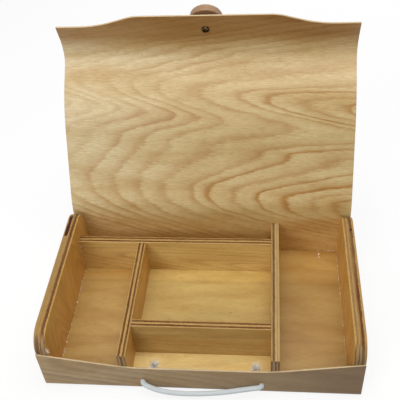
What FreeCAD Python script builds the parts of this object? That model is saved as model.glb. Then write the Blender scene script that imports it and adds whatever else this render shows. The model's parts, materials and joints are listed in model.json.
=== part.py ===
"""Wooden art supply box: a thin plywood sheet wrapped round two solid ends, with dividers inside.

The wrap is one sheet: front wall, bottom, back wall, lid and flap. It is split at its fold lines, and the lid
is drawn open, as it stands at rest. The origin is the middle of the underside, +X runs to the right along the
width, +Y to the back and +Z up. Lengths are in millimetres and angles in degrees.
"""
import FreeCAD, Part
import math
import os
import re

import Sketcher

Vector = FreeCAD.Vector

SIZES = {
    # Wrap sheet
    "width": (330, "outside width of the box"),
    "depth": (196, "outside depth of the box"),
    "skin": (2, "thickness of the wrap sheet"),
    "wrap_bend": (6, "outside radius of the two bends along the bottom"),
    "front_height": (55, "height of the front wall at its ends"),
    "dip_height": (37, "height of the front wall in the middle"),
    "dip_width": (148, "width of the level middle of the front wall's edge"),
    "dip_round": (180, "radius where the sloping edge meets the level one"),
    # Ends, floor and dividers
    "panel_thick": (12, "thickness of an end panel"),
    "panel_height": (76, "height of an end panel"),
    "panel_corner": (21, "radius of an end panel's top corners"),
    "corner_ease": (0.5, "extra radius of a board's lower corners over the bend they stand in"),
    "floor_thick": (6, "thickness of the floor board"),
    "divider_thick": (9, "thickness of a divider"),
    "divider_height": (47, "height of a divider above the floor"),
    "centre_bay": (146, "clear width between the left and right dividers"),
    "front_bay": (37.5, "clear depth between the front wall and the cross divider"),
    "back_bay": (26, "clear depth between the back divider and the back wall"),
    # Lid and flap
    "seat_gap": (0.5, "room between the shut lid or flap and what it lies on"),
    "fold_gap": (0.4, "half of the gap between two panels at a fold line"),
    "flex_gap": (0.6, "half of the gap between the lid's rear and front panels"),
    "back_fold": (12, "distance of the two back fold lines from the shut lid's back corner"),
    "front_fold": (12.5, "distance of the two front fold lines from the shut lid's front corner"),
    "front_length": (54.8, "length of the lid's front panel up to its moulded bend"),
    "rear_lean": (25, "lean of the open lid's rear panel behind the vertical"),
    "front_lean": (47.5, "lean of the open lid's front panel behind the vertical"),
    "flap_lean": (20, "lean of the open flap in front of the vertical"),
    "flap_length": (29, "length of the flap at its shoulders"),
    "tab_drop": (15, "how far the tab stands out beyond the shoulders"),
    "tab_width": (156, "width of the tab's straight edge"),
    "tab_slope": (42, "width of the curve between tab and shoulder"),
    "tab_round": (115, "radius of that curve's two halves"),
    # Knob and its screw
    "knob_inset": (20.5, "distance of the knob's axis from the tab's edge"),
    "knob_diameter": (36, "diameter of the knob's disc"),
    "knob_thick": (9.5, "thickness of the knob's disc"),
    "neck_diameter": (16, "diameter of the knob's neck"),
    "neck_length": (8.5, "length of the knob's neck"),
    "rim_round": (2.5, "radius of the disc's outer rim"),
    "screw_diameter": (4, "diameter of the knob screw's shank"),
    "screw_length": (14, "length of the knob screw under its head"),
    "screw_room": (0.1, "room round the shank and beyond its tip"),
    "head_diameter": (8.6, "diameter of the screw head"),
    "head_height": (2.8, "height of the screw head"),
    "slot_width": (1.1, "width of the screwdriver slot"),
    "slot_depth": (1, "depth of the screwdriver slot"),
    # Cord handle
    "rope_diameter": (5.5, "diameter of the cord"),
    "rope_room": (0.25, "room round the cord in its hole, and at the ends of the loop"),
    "hole_spacing": (123, "distance between the two cord holes"),
    "hole_shift": (2.75, "how far the pair of holes is set to the right"),
    "hole_height": (15.2, "height of the cord holes above the underside"),
    "knot_diameter": (12, "diameter of a knot"),
    "knot_shift": (2, "how far a knot lies from its hole, towards the middle"),
    "tail_length": (13, "length of the loose end beyond a knot's middle"),
}

# The loop of cord between its holes: distance along the width, distance in front of the wall, and height.
LOOP_POINTS = [
    (-49.5, 6.4, 12.2),
    (-36.0, 8.8, 9.8),
    (-18.0, 9.6, 8.9),
    (3.0, 9.2, 9.1),
    (24.0, 7.8, 10.8),
    (42.0, 5.8, 13.2),
    (55.0, 4.2, 14.7),
]
# Where a loose end points, for the left knot: towards the middle, back and up.
TAIL_DIRECTION = Vector(0.65, 0.25, 0.7)
ARC_REACH = 0.45  # share of the shorter run that an arc of the cord takes up
SAME_PLACE = 0.01  # two edges nearer than this are the same edge
VOLUME_TOLERANCE = 0.01

doc = FreeCAD.newDocument("art_supply_box")
sheet = doc.addObject("Spreadsheet::Sheet", "Sizes")
for row, (alias, (number, meaning)) in enumerate(SIZES.items(), start=1):
    sheet.set(f"A{row}", meaning)
    sheet.set(f"B{row}", str(number))
    sheet.setAlias(f"B{row}", alias)
doc.recompute()


def cells(formula):
    """The formula with each size written as a reference to its cell."""
    return re.sub(r"[a-z_]+", lambda word: f"Sizes.{word[0]}" if word[0] in SIZES else word[0], formula)


def value(formula):
    return float(sheet.evalExpression(cells(formula)))


def bind(item, name, formula):
    item.setExpression(name, cells(formula))


def place(item, x="0", y="0", z="0", turn="0"):
    """Put an object at a point, turned about the X axis."""
    item.Placement = FreeCAD.Placement(Vector(), FreeCAD.Rotation(Vector(1, 0, 0), 1))
    for axis, formula in zip("xyz", (x, y, z)):
        bind(item, f"Placement.Base.{axis}", formula)
    bind(item, "Placement.Rotation.Angle", turn)


def board(label, length, width, height, **where):
    box = doc.addObject("Part::Box", label)
    bind(box, "Length", length)
    bind(box, "Width", width)
    bind(box, "Height", height)
    place(box, **where)
    return box


def new_sketch(body, plane, name):
    sketch = body.newObject("Sketcher::SketchObject", name)
    support = [feature for feature in body.Origin.OriginFeatures if feature.Role == plane]
    sketch.AttachmentSupport = [(support[0], "")]
    sketch.MapMode = "FlatFace"
    return sketch


def pin_point(sketch, element, point, name, corner):
    """Hold one point of a sketch at two formulas."""
    for kind, letter, formula in zip(("DistanceX", "DistanceY"), "xy", corner):
        constraint = Sketcher.Constraint(kind, -1, 1, element, point, value(formula))
        index = sketch.addConstraint(constraint)
        sketch.renameConstraint(index, f"{name}_{letter}")
        bind(sketch, f"Constraints.{name}_{letter}", formula)


def outline(body, plane, name, corners):
    """A closed outline of straight edges, each corner held at its formulas."""
    sketch = new_sketch(body, plane, name)
    points = [Vector(value(first), value(second), 0) for first, second in corners]
    count = len(points)
    for index, point in enumerate(points):
        sketch.addGeometry(Part.LineSegment(point, points[(index + 1) % count]), False)
    for index in range(count):
        sketch.addConstraint(Sketcher.Constraint("Coincident", index, 2, (index + 1) % count, 1))
    for index, corner in enumerate(corners):
        pin_point(sketch, index, 1, f"corner_{index}", corner)
    return sketch


def circles(body, plane, name, radius, centres):
    sketch = new_sketch(body, plane, name)
    for index, centre in enumerate(centres):
        middle = Vector(value(centre[0]), value(centre[1]), 0)
        sketch.addGeometry(Part.Circle(middle, Vector(0, 0, 1), value(radius)), False)
        pin_point(sketch, index, 3, f"centre_{index}", centre)
        size = sketch.addConstraint(Sketcher.Constraint("Radius", index, value(radius)))
        sketch.renameConstraint(size, f"radius_{index}")
        bind(sketch, f"Constraints.radius_{index}", radius)
    return sketch


def pad(body, sketch, length, side="One side", backwards=False):
    feature = body.newObject("PartDesign::Pad", f"{sketch.Name}_pad")
    feature.Profile = sketch
    feature.SideType = side
    feature.Reversed = backwards
    bind(feature, "Length", length)
    doc.recompute()
    return feature


def cut_through(body, sketch, backwards=False):
    """Cut the sketch right through one side of the body, and check that something was cut."""
    before = body.Shape.Volume
    feature = body.newObject("PartDesign::Pocket", f"{sketch.Name}_cut")
    feature.Profile = sketch
    feature.Type = "ThroughAll"
    feature.Reversed = backwards
    doc.recompute()
    if not body.Shape.Volume < before:
        raise RuntimeError(f"{feature.Name} cut nothing")
    return feature


def revolve(body, sketch):
    feature = body.newObject("PartDesign::Revolution", f"{sketch.Name}_turned")
    feature.Profile = sketch
    feature.ReferenceAxis = (sketch, ["V_Axis"])
    feature.Angle = 360
    doc.recompute()
    return feature


def round_edges(body, name, radius, chosen):
    """Round the edges of the body's last feature for which chosen(edge) is true."""
    last = body.Tip
    names = [f"Edge{index}" for index, edge in enumerate(last.Shape.Edges, start=1) if chosen(edge)]
    if not names:
        raise RuntimeError(f"{name} found no edge")
    feature = body.newObject("PartDesign::Fillet", name)
    feature.Base = (last, names)
    bind(feature, "Radius", radius)
    doc.recompute()
    return feature


def along(axis, *places):
    """True for a straight edge along an axis that passes through one of the places in the other two."""
    others = [index for index in range(3) if index != "xyz".index(axis)]
    wanted = [[value(formula) for formula in point] for point in places]

    def chosen(edge):
        first, last = edge.Vertexes[0].Point, edge.Vertexes[-1].Point
        run = last - first
        middle = edge.CenterOfMass
        straight = edge.Curve.TypeId == "Part::GeomLine"
        on_axis = abs(run["xyz".index(axis)]) > run.Length - SAME_PLACE
        near = [all(abs(middle[i] - p) < SAME_PLACE for i, p in zip(others, point)) for point in wanted]
        return straight and on_axis and any(near)

    return chosen


def ring(radius, height):
    """True for a full circle about the Z axis, of that radius and at that height."""

    def chosen(edge):
        if edge.Curve.TypeId != "Part::GeomCircle":
            return False
        level = abs(edge.Curve.Center.z - value(height)) < SAME_PLACE
        return level and abs(edge.Curve.Radius - value(radius)) < SAME_PLACE

    return chosen


# Fold lines of the wrap, on its inner face, from the back wall up to the flap
LID_LEVEL = "(skin + panel_height + seat_gap)"
BACK_INSIDE = "(depth / 2 - skin)"
FRONT_INSIDE = "(-depth / 2 + skin)"
BEND_LENGTH = "(back_fold * sqrt(2))"
REAR_LENGTH = "(depth - skin - back_fold + seat_gap - front_fold - front_length)"
LIP_LENGTH = "(front_fold * sqrt(2))"
BEND_LEAN = "(rear_lean / 2)"
MOULDED_ANGLE = 45
LIP_LEAN = f"(front_lean - {MOULDED_ANGLE})"


def further(start, length, lean):
    """The point that lies a length further along the leaning sheet."""
    return f"({start[0]} + {length} * sin({lean}))", f"({start[1]} + {length} * cos({lean}))"


BEND_LINE = (BACK_INSIDE, f"({LID_LEVEL} - back_fold)")
REAR_LINE = further(BEND_LINE, BEND_LENGTH, BEND_LEAN)
FLEX_LINE = further(REAR_LINE, REAR_LENGTH, "rear_lean")
LIP_LINE = further(FLEX_LINE, "front_length", "front_lean")
FLAP_LINE = further(LIP_LINE, LIP_LENGTH, LIP_LEAN)


def make_wrap():
    wrap = doc.addObject("PartDesign::Body", "wrap")
    back_height = f"{BEND_LINE[1]} - fold_gap"
    section = outline(wrap, "YZ_Plane", "wrap_section", [
        ("-depth / 2", "front_height"),
        ("-depth / 2", "0"),
        ("depth / 2", "0"),
        ("depth / 2", back_height),
        (BACK_INSIDE, back_height),
        (BACK_INSIDE, "skin"),
        (FRONT_INSIDE, "skin"),
        (FRONT_INSIDE, "front_height"),
    ])
    pad(wrap, section, "width", side="Symmetric")
    outer_corners = along("x", ("-depth / 2", "0"), ("depth / 2", "0"))
    round_edges(wrap, "wrap_outer_bends", "wrap_bend", outer_corners)
    inner_corners = along("x", (FRONT_INSIDE, "skin"), (BACK_INSIDE, "skin"))
    round_edges(wrap, "wrap_inner_bends", "wrap_bend - skin", inner_corners)
    dip = outline(wrap, "XZ_Plane", "front_dip", [
        ("-width / 2", "front_height"),
        ("-dip_width / 2", "dip_height"),
        ("dip_width / 2", "dip_height"),
        ("width / 2", "front_height"),
        ("width / 2", "front_height + skin"),
        ("-width / 2", "front_height + skin"),
    ])
    cut_through(wrap, dip, backwards=True)
    dip_corners = along("y", ("-dip_width / 2", "dip_height"), ("dip_width / 2", "dip_height"))
    slope = "atan(2 * (front_height - dip_height) / (width - dip_width))"
    widest = f"0.45 * min(dip_width; (width - dip_width) / 2) / tan({slope} / 2)"
    round_edges(wrap, "front_dip_rounds", f"min(dip_round; {widest})", dip_corners)
    hole_radius = "rope_diameter / 2 + rope_room"
    holes = circles(wrap, "XZ_Plane", "rope_holes", hole_radius, [
        ("hole_shift - hole_spacing / 2", "hole_height"),
        ("hole_shift + hole_spacing / 2", "hole_height"),
    ])
    cut_through(wrap, holes, backwards=True)
    return wrap


def make_upright_board(label, thickness, low, high, x):
    """A board that stands across the wrap, from front wall to back wall, with its lower corners eased."""
    body = doc.addObject("PartDesign::Body", label)
    section = outline(body, "YZ_Plane", f"{label}_section", [
        (FRONT_INSIDE, low),
        (BACK_INSIDE, low),
        (BACK_INSIDE, high),
        (FRONT_INSIDE, high),
    ])
    pad(body, section, thickness)
    lower_corners = along("x", (FRONT_INSIDE, low), (BACK_INSIDE, low))
    round_edges(body, f"{label}_eased", "wrap_bend - skin + corner_ease", lower_corners)
    place(body, x=x)
    return body


def make_end_panel(label, x):
    top = "skin + panel_height"
    panel = make_upright_board(label, "panel_thick", "skin", top, x)
    top_corners = along("x", (FRONT_INSIDE, top), (BACK_INSIDE, top))
    round_edges(panel, f"{label}_corners", "panel_corner", top_corners)
    return panel


def make_insides():
    floor = "width - 2 * panel_thick"
    floor_top = "skin + floor_thick"
    left_inside = "-width / 2 + panel_thick"
    divider_left = "-centre_bay / 2 - divider_thick"
    back_face = f"{BACK_INSIDE} - back_bay - divider_thick"
    inside_depth = f"{BACK_INSIDE} - {FRONT_INSIDE}"
    return [
        make_upright_board("floor_board", floor, "skin", floor_top, left_inside),
        board("back_divider", f"centre_bay / 2 - ({left_inside})", "divider_thick", "divider_height",
              x=left_inside, y=back_face, z=floor_top),
        board("right_divider", "divider_thick", inside_depth, "divider_height",
              x="centre_bay / 2", y=FRONT_INSIDE, z=floor_top),
        board("left_divider", "divider_thick", f"{back_face} - {FRONT_INSIDE}", "divider_height",
              x=divider_left, y=FRONT_INSIDE, z=floor_top),
        board("cross_divider", "centre_bay", "divider_thick", "divider_height",
              x="-centre_bay / 2", y=f"{FRONT_INSIDE} + front_bay", z=floor_top),
    ]


def make_lid_panel(label, line, length, lean, end_gap):
    """A flat stretch of the sheet between two fold lines."""
    start = further(line, "fold_gap", lean)
    return board(label, "width", "skin", f"{length} - fold_gap - {end_gap}",
                 x="-width / 2", y=start[0], z=start[1], turn=f"-{lean}")


def make_lid_front():
    """The lid's front panel and the moulded bend that leads into the flap, with a mitre between them.

    Both are flat stretches of the sheet, drawn along the front panel's own Z axis.
    """
    lip = f"({LIP_LENGTH} - fold_gap)"
    inner_corner = ("0", "front_length")
    outer_corner = ("skin", f"front_length + skin * tan({MOULDED_ANGLE} / 2)")
    inner_end = (f"-{lip} * sin({MOULDED_ANGLE})", f"front_length + {lip} * cos({MOULDED_ANGLE})")
    outer_end = (
        f"{inner_end[0]} + skin * cos({MOULDED_ANGLE})",
        f"{inner_end[1]} + skin * sin({MOULDED_ANGLE})",
    )
    sections = {
        "lid_front_panel": [("0", "flex_gap"), inner_corner, outer_corner, ("skin", "flex_gap")],
        "front_bend": [inner_corner, inner_end, outer_end, outer_corner],
    }
    panels = []
    for label, corners in sections.items():
        panel = doc.addObject("PartDesign::Body", label)
        pad(panel, outline(panel, "YZ_Plane", f"{label}_section", corners), "width", side="Symmetric")
        place(panel, y=FLEX_LINE[0], z=FLEX_LINE[1], turn="-front_lean")
        panels.append(panel)
    return panels


def make_flap():
    flap = doc.addObject("PartDesign::Body", "front_flap")
    shoulder = "tab_width / 2 + tab_slope"
    tip = "flap_length + tab_drop"
    face = outline(flap, "XZ_Plane", "flap_face", [
        ("-width / 2", "fold_gap"),
        ("width / 2", "fold_gap"),
        ("width / 2", "flap_length"),
        (shoulder, "flap_length"),
        ("tab_width / 2", tip),
        ("-tab_width / 2", tip),
        (f"-({shoulder})", "flap_length"),
        ("-width / 2", "flap_length"),
    ])
    pad(flap, face, "skin", backwards=True)
    curve_corners = along(
        "y",
        (shoulder, "flap_length"),
        ("tab_width / 2", tip),
        ("-tab_width / 2", tip),
        (f"-({shoulder})", "flap_length"),
    )
    half_slope = "sqrt(tab_slope ^ 2 + tab_drop ^ 2) / 2"
    widest = f"0.95 * {half_slope} / tan(atan(tab_drop / tab_slope) / 2)"
    round_edges(flap, "flap_curves", f"min(tab_round; {widest})", curve_corners)
    screw_hole = circles(flap, "XZ_Plane", "screw_hole", "screw_diameter / 2 + screw_room", [
        ("0", f"{tip} - knob_inset"),
    ])
    cut_through(flap, screw_hole)
    place(flap, y=FLAP_LINE[0], z=FLAP_LINE[1], turn="flap_lean")
    return flap


def make_knob():
    """The turned knob: a disc that stands off the flap on a neck. Its axis is its own Z axis."""
    knob = doc.addObject("PartDesign::Body", "knob")
    pilot = "screw_diameter / 2 + screw_room"
    pilot_end = "screw_length - skin + screw_room"
    knob_top = "neck_length + knob_thick"
    profile = outline(knob, "XZ_Plane", "knob_profile", [
        (pilot, "0"),
        ("neck_diameter / 2", "0"),
        ("neck_diameter / 2", "neck_length"),
        ("knob_diameter / 2", "neck_length"),
        ("knob_diameter / 2", knob_top),
        ("0", knob_top),
        ("0", pilot_end),
        (pilot, pilot_end),
    ])
    revolve(knob, profile)
    round_edges(knob, "knob_rim", "rim_round", ring("knob_diameter / 2", knob_top))
    return knob


def make_knob_screw():
    """The round-headed screw that holds the knob from inside the flap. Its axis is its own Z axis."""
    screw = doc.addObject("PartDesign::Body", "knob_screw")
    profile = outline(screw, "XZ_Plane", "screw_profile", [
        ("0", "-head_height"),
        ("head_diameter / 2", "-head_height"),
        ("head_diameter / 2", "0"),
        ("screw_diameter / 2", "0"),
        ("screw_diameter / 2", "screw_length - screw_diameter / 2"),
        ("0", "screw_length"),
    ])
    revolve(screw, profile)
    round_edges(screw, "screw_dome", "0.85 * head_height", ring("head_diameter / 2", "-head_height"))
    slot = outline(screw, "XY_Plane", "screw_slot", [
        ("-head_diameter", "-slot_width / 2"),
        ("head_diameter", "-slot_width / 2"),
        ("head_diameter", "slot_width / 2"),
        ("-head_diameter", "slot_width / 2"),
    ])
    bind(slot, "AttachmentOffset.Base.z", "slot_depth - head_height")
    cut_through(screw, slot)
    return screw


def make_knob_pieces():
    axis = further(FLAP_LINE, "(flap_length + tab_drop - knob_inset)", "-flap_lean")
    outside = f"{axis[0]} + skin * cos(flap_lean)", f"{axis[1]} + skin * sin(flap_lean)"
    knob = make_knob()
    place(knob, y=outside[0], z=outside[1], turn="flap_lean - 90")
    screw = make_knob_screw()
    place(screw, y=axis[0], z=axis[1], turn="flap_lean - 90")
    return [knob, screw]


def cord_path(points):
    """Straight runs joined by arcs as large as the runs allow. Prints the arcs' radii."""
    edges = []
    radii = []
    start = points[0]
    for before, corner, after in zip(points, points[1:], points[2:]):
        back = (before - corner).normalize()
        ahead = (after - corner).normalize()
        reach = ARC_REACH * min((before - corner).Length, (after - corner).Length)
        half_turn = (math.pi - back.getAngle(ahead)) / 2
        radius = reach / math.tan(half_turn)
        middle = corner + (back + ahead).normalize() * (radius / math.cos(half_turn) - radius)
        arc_start = corner + back * reach
        arc_end = corner + ahead * reach
        edges.append(Part.LineSegment(start, arc_start).toShape())
        edges.append(Part.Arc(arc_start, middle, arc_end).toShape())
        radii.append(radius)
        start = arc_end
    edges.append(Part.LineSegment(start, points[-1]).toShape())
    print("cord radii, mm:", [round(radius, 1) for radius in radii])
    return Part.Wire(edges)


def make_rope():
    """The loop of cord outside the wall, with ball ends to swing on, and a knotted end behind each hole."""
    radius = value("rope_diameter / 2")
    room = value("rope_room")
    face = value("-depth / 2")
    inside = value(FRONT_INSIDE)
    height = value("hole_height")
    holes = {
        "left": value("hole_shift - hole_spacing / 2"),
        "right": value("hole_shift + hole_spacing / 2"),
    }
    pivot = face - radius - 2 * room
    points = [Vector(x, face - out, z) for x, out, z in LOOP_POINTS]
    points.insert(0, Vector(holes["left"], pivot, height))
    points.append(Vector(holes["right"], pivot, height))
    path = cord_path(points)
    circle = Part.Circle(points[0], points[1] - points[0], radius)
    tube = path.makePipeShell([Part.Wire(circle.toShape())], True, True)
    expected = math.pi * radius ** 2 * path.Length
    print("cord loop: length, mm:", round(path.Length, 1), "volume share:", round(tube.Volume / expected, 4))
    if abs(tube.Volume / expected - 1) > VOLUME_TOLERANCE:
        raise RuntimeError("the cord's tube has the wrong volume")
    ends = [
        Part.makeSphere(radius, points[0], points[1] - points[0]),
        Part.makeSphere(radius, points[-1], points[-2] - points[-1]),
    ]
    loop = doc.addObject("Part::Feature", "handle_rope")
    loop.Shape = tube.fuse(ends)
    pieces = [loop]
    knot_radius = value("knot_diameter / 2")
    for side, hole in holes.items():
        inwards = math.copysign(1, -hole)
        start = Vector(hole, face - room, height)
        knot = Vector(hole + inwards * value("knot_shift"), inside + knot_radius + room, height + radius / 2)
        stub = Part.makeCylinder(radius, knot.y - start.y, start, Vector(0, 1, 0))
        direction = Vector(inwards * TAIL_DIRECTION.x, TAIL_DIRECTION.y, TAIL_DIRECTION.z)
        tail = Part.makeCylinder(radius, value("tail_length"), knot, direction)
        end = doc.addObject("Part::Feature", f"{side}_rope_knot")
        end.Shape = Part.makeSphere(knot_radius, knot, direction).fuse([stub, tail])
        pieces.append(end)
    return pieces


def check_and_write(pieces):
    doc.recompute()
    for item in doc.Objects:
        if "Invalid" in item.State or "Error" in item.State:
            raise RuntimeError(f"{item.Label} failed: {item.State}")
    for piece in pieces:
        shape = piece.Shape
        if shape.isNull() or not shape.isValid() or len(shape.Solids) != 1:
            raise RuntimeError(f"{piece.Label} is not one valid solid")
    os.makedirs("parts", exist_ok=True)
    for piece in pieces:
        piece.Shape.exportStep(f"parts/{piece.Label}.step")
        print(f"{piece.Label}: {piece.Shape.Volume / 1000:.2f} cm3")


check_and_write([
    make_wrap(),
    make_end_panel("left_end_panel", "-width / 2"),
    make_end_panel("right_end_panel", "width / 2 - panel_thick"),
    *make_insides(),
    make_lid_panel("back_bend", BEND_LINE, BEND_LENGTH, BEND_LEAN, "fold_gap"),
    make_lid_panel("lid_rear_panel", REAR_LINE, REAR_LENGTH, "rear_lean", "flex_gap"),
    *make_lid_front(),
    make_flap(),
    *make_knob_pieces(),
    *make_rope(),
])
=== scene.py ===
"""The looks of a wooden art supply box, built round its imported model.

One thin birch sheet is wrapped round two plywood ends and bends on into the lid and its flap. Inside are a
floor and four dividers. A braided cord is the handle, and it hooks over a turned knob on the flap.
Lengths are in metres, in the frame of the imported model, and names that end in _MM are in millimetres.
"""
import json
import math
from functools import partial

import bmesh
import bpy
import numpy as np
from bpy.props import FloatProperty, FloatVectorProperty, IntProperty, PointerProperty
from mathutils import Matrix, Vector


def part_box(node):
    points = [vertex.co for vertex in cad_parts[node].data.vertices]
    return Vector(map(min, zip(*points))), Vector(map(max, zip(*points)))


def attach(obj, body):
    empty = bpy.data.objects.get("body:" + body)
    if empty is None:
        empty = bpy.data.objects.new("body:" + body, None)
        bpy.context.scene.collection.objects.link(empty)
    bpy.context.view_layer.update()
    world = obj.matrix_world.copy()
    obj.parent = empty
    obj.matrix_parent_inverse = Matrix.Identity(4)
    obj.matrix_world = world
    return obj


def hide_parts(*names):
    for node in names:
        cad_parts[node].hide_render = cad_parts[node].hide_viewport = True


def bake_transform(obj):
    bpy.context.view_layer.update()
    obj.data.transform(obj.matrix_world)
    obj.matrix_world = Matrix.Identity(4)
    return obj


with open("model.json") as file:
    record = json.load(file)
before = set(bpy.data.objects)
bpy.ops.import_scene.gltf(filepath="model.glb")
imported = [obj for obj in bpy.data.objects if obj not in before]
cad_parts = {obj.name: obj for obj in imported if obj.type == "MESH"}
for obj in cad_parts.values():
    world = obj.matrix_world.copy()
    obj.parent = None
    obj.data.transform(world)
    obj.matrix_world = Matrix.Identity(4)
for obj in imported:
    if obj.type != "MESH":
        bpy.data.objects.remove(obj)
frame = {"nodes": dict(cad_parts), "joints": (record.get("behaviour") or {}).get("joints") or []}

bl_info = {
    "name": "Art supply box",
    "version": (1, 0, 0),
    "blender": (4, 5, 0),
    "location": "View3D > Sidebar > Art box",
    "description": "Dresses the packed art supply box: bent sheet, boards, glue, cord, knob and stage",
    "category": "Object",
}

MM = 0.001
X, Y, Z = range(3)
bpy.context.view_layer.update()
FOLD = {joint["name"]: Vector(joint["pos_m"]).yz for joint in frame["joints"]}
WRAP_LOW, WRAP_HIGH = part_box("wrap")
GRAIN_MAP = "grain"

# A Mix node has several sockets of each name, so these are the places of its share and of its two colours
SHARE, FIRST, SECOND = 0, 6, 7
# Places of a piece's materials: faces, edges and the sheet's outside, and the faces of the floor's bays
FACE, EDGE, OUTSIDE = 0, 1, 2
MIDDLE_BAY, SIDE_BAY, FRONT_BAY = 0, 2, 3

# The cord between its two holes, as in the part's source: along the width, out from the wall, and height
CORD_ROUTE_MM = [
    (-49.5, 6.4, 12.2),
    (-36.0, 8.8, 9.8),
    (-18.0, 9.6, 8.9),
    (3.0, 9.2, 9.1),
    (24.0, 7.8, 10.8),
    (42.0, 5.8, 13.2),
    (55.0, 4.2, 14.7),
]
CORD_HOLES_MM = {"left": -58.75, "right": 64.25}
# How far it runs straight out of a hole
CORD_STRAIGHT_MM = 3.2

# A knot behind its hole: depths at which the cord still runs straight, then the middle of its winding and
# the loose end beyond that middle. Both are towards the middle of the box, back and up.
KNOT_STRAIGHT_MM = (0.2, 3, 6)
KNOT_MIDDLE_MM = (2, 8.3, 1.4)
TAIL_MM = {"left": (8.6, 3.3, 9.2), "right": (7.0, 4.0, 9.0)}
# Shares of the loose end's length at which its route has points
TAIL_SHARES = (0.55, 1)
# The winding starts deep and comes towards the wall, step by step
KNOT_RADIUS_MM = 3.4
KNOT_DEPTH_MM = 4.2
KNOT_STEP_MM = 0.85
KNOT_STEPS = 11
KNOT_START_DEGREES = -60
KNOT_STEP_DEGREES = 50

# How far the rings of a veneer are pulled along the grain, at distances across it. On the sheet these are
# distances from the front wall's edge, and all the boards are cut from one veneer.
FLAME_SPAN_MM = 600
LONGEST_PULL_MM = 900
SHEET_FLAMES_MM = [
    (0, 80), (55, 420), (95, 170), (145, 10), (200, 190), (230, 620), (250, 600), (268, 400), (285, 230),
    (300, 105), (314, 30), (331, 0), (352, 16), (380, 78), (396, 104), (407, 164), (423, 253), (433, 187),
    (440, 112), (446, 78), (452, 68), (458, 74), (464, 104), (472, 172), (487, 280), (510, 450), (549, 760),
    (575, 880),
]
BOARD_FLAMES_MM = [
    (0, 60), (45, 430), (95, 90), (140, 470), (200, 60), (260, 480), (330, 40), (400, 500), (480, 60),
    (600, 560),
]
# How far apart in that veneer the boards start, along the grain and across it
VENEER_STEP = 50 * MM

# Red, green and blue of the varnish and strength of the grain lines, at distances across the grain. The lines
# are faint on the back wall and the flap. The moulded bend has a painted highlight, and the flap partly
# painted shade.
INSIDE_TONES_MM = [
    (0, 1, 1, 1, 1),
    (250, 1.06, 0.93, 0.7, 0.55),
    (298, 1.04, 0.92, 0.74, 0.55),
    (312, 1.04, 1.02, 0.94, 0.8),
    (330, 1.07, 1.08, 1.06, 1),
    (362, 1, 1, 0.98, 1),
    (400, 0.96, 0.96, 0.91, 1),
    (440, 0.98, 0.98, 0.96, 1),
    # Painted highlight: the moulded bend is paler and whiter, where the window lamp would shine off the
    # varnish
    (478, 1.06, 1.05, 1.05, 0.8),
    (492, 1.16, 1.17, 1.22, 0.65),
    (506, 1.12, 1.12, 1.16, 0.5),
    # Partly painted shade where the flap turns away from the light, partly a browner wood on the flap
    (522, 0.76, 0.58, 0.42, 0.45),
    (553, 0.68, 0.5, 0.35, 0.45),
]
EVEN_TONES_MM = [(0, 1, 1, 1, 1), (FLAME_SPAN_MM, 1, 1, 1, 1)]
# The floor's veneer has a brown line near the front and a pale band along the back
FLOOR_TONES_MM = [
    (0, 1, 1, 1, 1),
    (54, 1, 1, 1, 1),
    (57, 0.88, 0.85, 0.8, 1),
    (60, 1, 1, 1, 1),
    (134, 1, 1, 1, 1),
    (138, 0.93, 0.9, 0.86, 1),
    (142, 1.1, 1.08, 1.05, 1),
    (165, 1.2, 1.18, 1.12, 1),
    (192, 1.15, 1.1, 1.05, 1),
]

# Tints at the left edge, in the middle and at the right edge, partly painted light
# Painted sheen: the inside is whiter towards the left edge, where the window lamp would shine off the varnish
INSIDE_SHEEN_SIDES = ((1.06, 1.15, 1.34), (0.95, 0.96, 0.92), (0.97, 0.99, 0.99))
# Painted light from the left: the outside is lighter and whiter at the left edge and darker and browner at
# the right, partly also browner wood there
OUTSIDE_LIGHT_AND_WOOD_SIDES = ((1.26, 1.32, 1.36), (1.06, 1.06, 1.03), (0.58, 0.5, 0.37))
# Painted light from the left: the floor is lighter and whiter towards the left edge
FLOOR_LIGHT_SIDES = ((1.1, 1.12, 1.18), (1, 1, 1), (0.98, 0.98, 0.94))
EVEN_SIDES = ((1, 1, 1), (1, 1, 1), (1, 1, 1))

# Darkness across one ring, from one sharp line to the next
RING_PROFILE = [(0, 0.35), (0.1, 0), (0.36, 0.06), (0.64, 0.38), (0.8, 0.86), (0.91, 0.95), (1, 0.35)]

# Plies from the inside of the box out: where each ends in the thickness, and how dark its edge is
SHEET_PLIES = [(0.36, 0), (0.64, 1), (1, 0)]
END_PLIES = {
    "left": [(0.14, 0), (0.37, 1), (0.46, 0.6), (0.57, 0.2), (0.87, 0.32), (1, 0.2)],
    "right": [(0.14, 0), (0.32, 0.6), (0.43, 0.2), (0.58, 0.6), (0.8, 1), (1, 0.15)],
}
DIVIDER_PLIES = [(0.13, 0), (0.37, 1), (0.62, 0), (0.87, 1), (1, 0)]
WORN_PLIES = [(0.2, 0.4), (0.45, 1), (0.66, 0), (0.78, 0.35), (1, 0.05)]
# Where a strip of ply is missing along each end panel's top, from the front to the back, drawn as painted
# shade
END_VOIDS_MM = {"left": (48, 82), "right": (62, 66)}
NO_VOID_MM = (-1000, -1000)

# The dividers that part the floor into bays, the direction across each, and its middle
FLOOR_WALLS = {
    "left_divider": (1, 0, 0),
    "right_divider": (1, 0, 0),
    "cross_divider": (0, 1, 0),
    "back_divider": (0, 1, 0),
}
WALL_MIDDLES = {wall: sum(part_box(wall), Vector()) / 2 for wall in FLOOR_WALLS}

# How finely the meshes are divided: columns across a sheet with a wavy edge and across a plain one, then
# steps round a sanded edge and a board's corner, and sides of a drill, a knob, a strand and the cord's core
WAVY_COLUMNS = 110
PLAIN_COLUMNS = 24
EDGE_STEPS = 3
CORNER_STEPS = 14
DRILL_SIDES = 40
KNOB_SIDES = 96
STRAND_SIDES = 6
CORE_SIDES = 12
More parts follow.
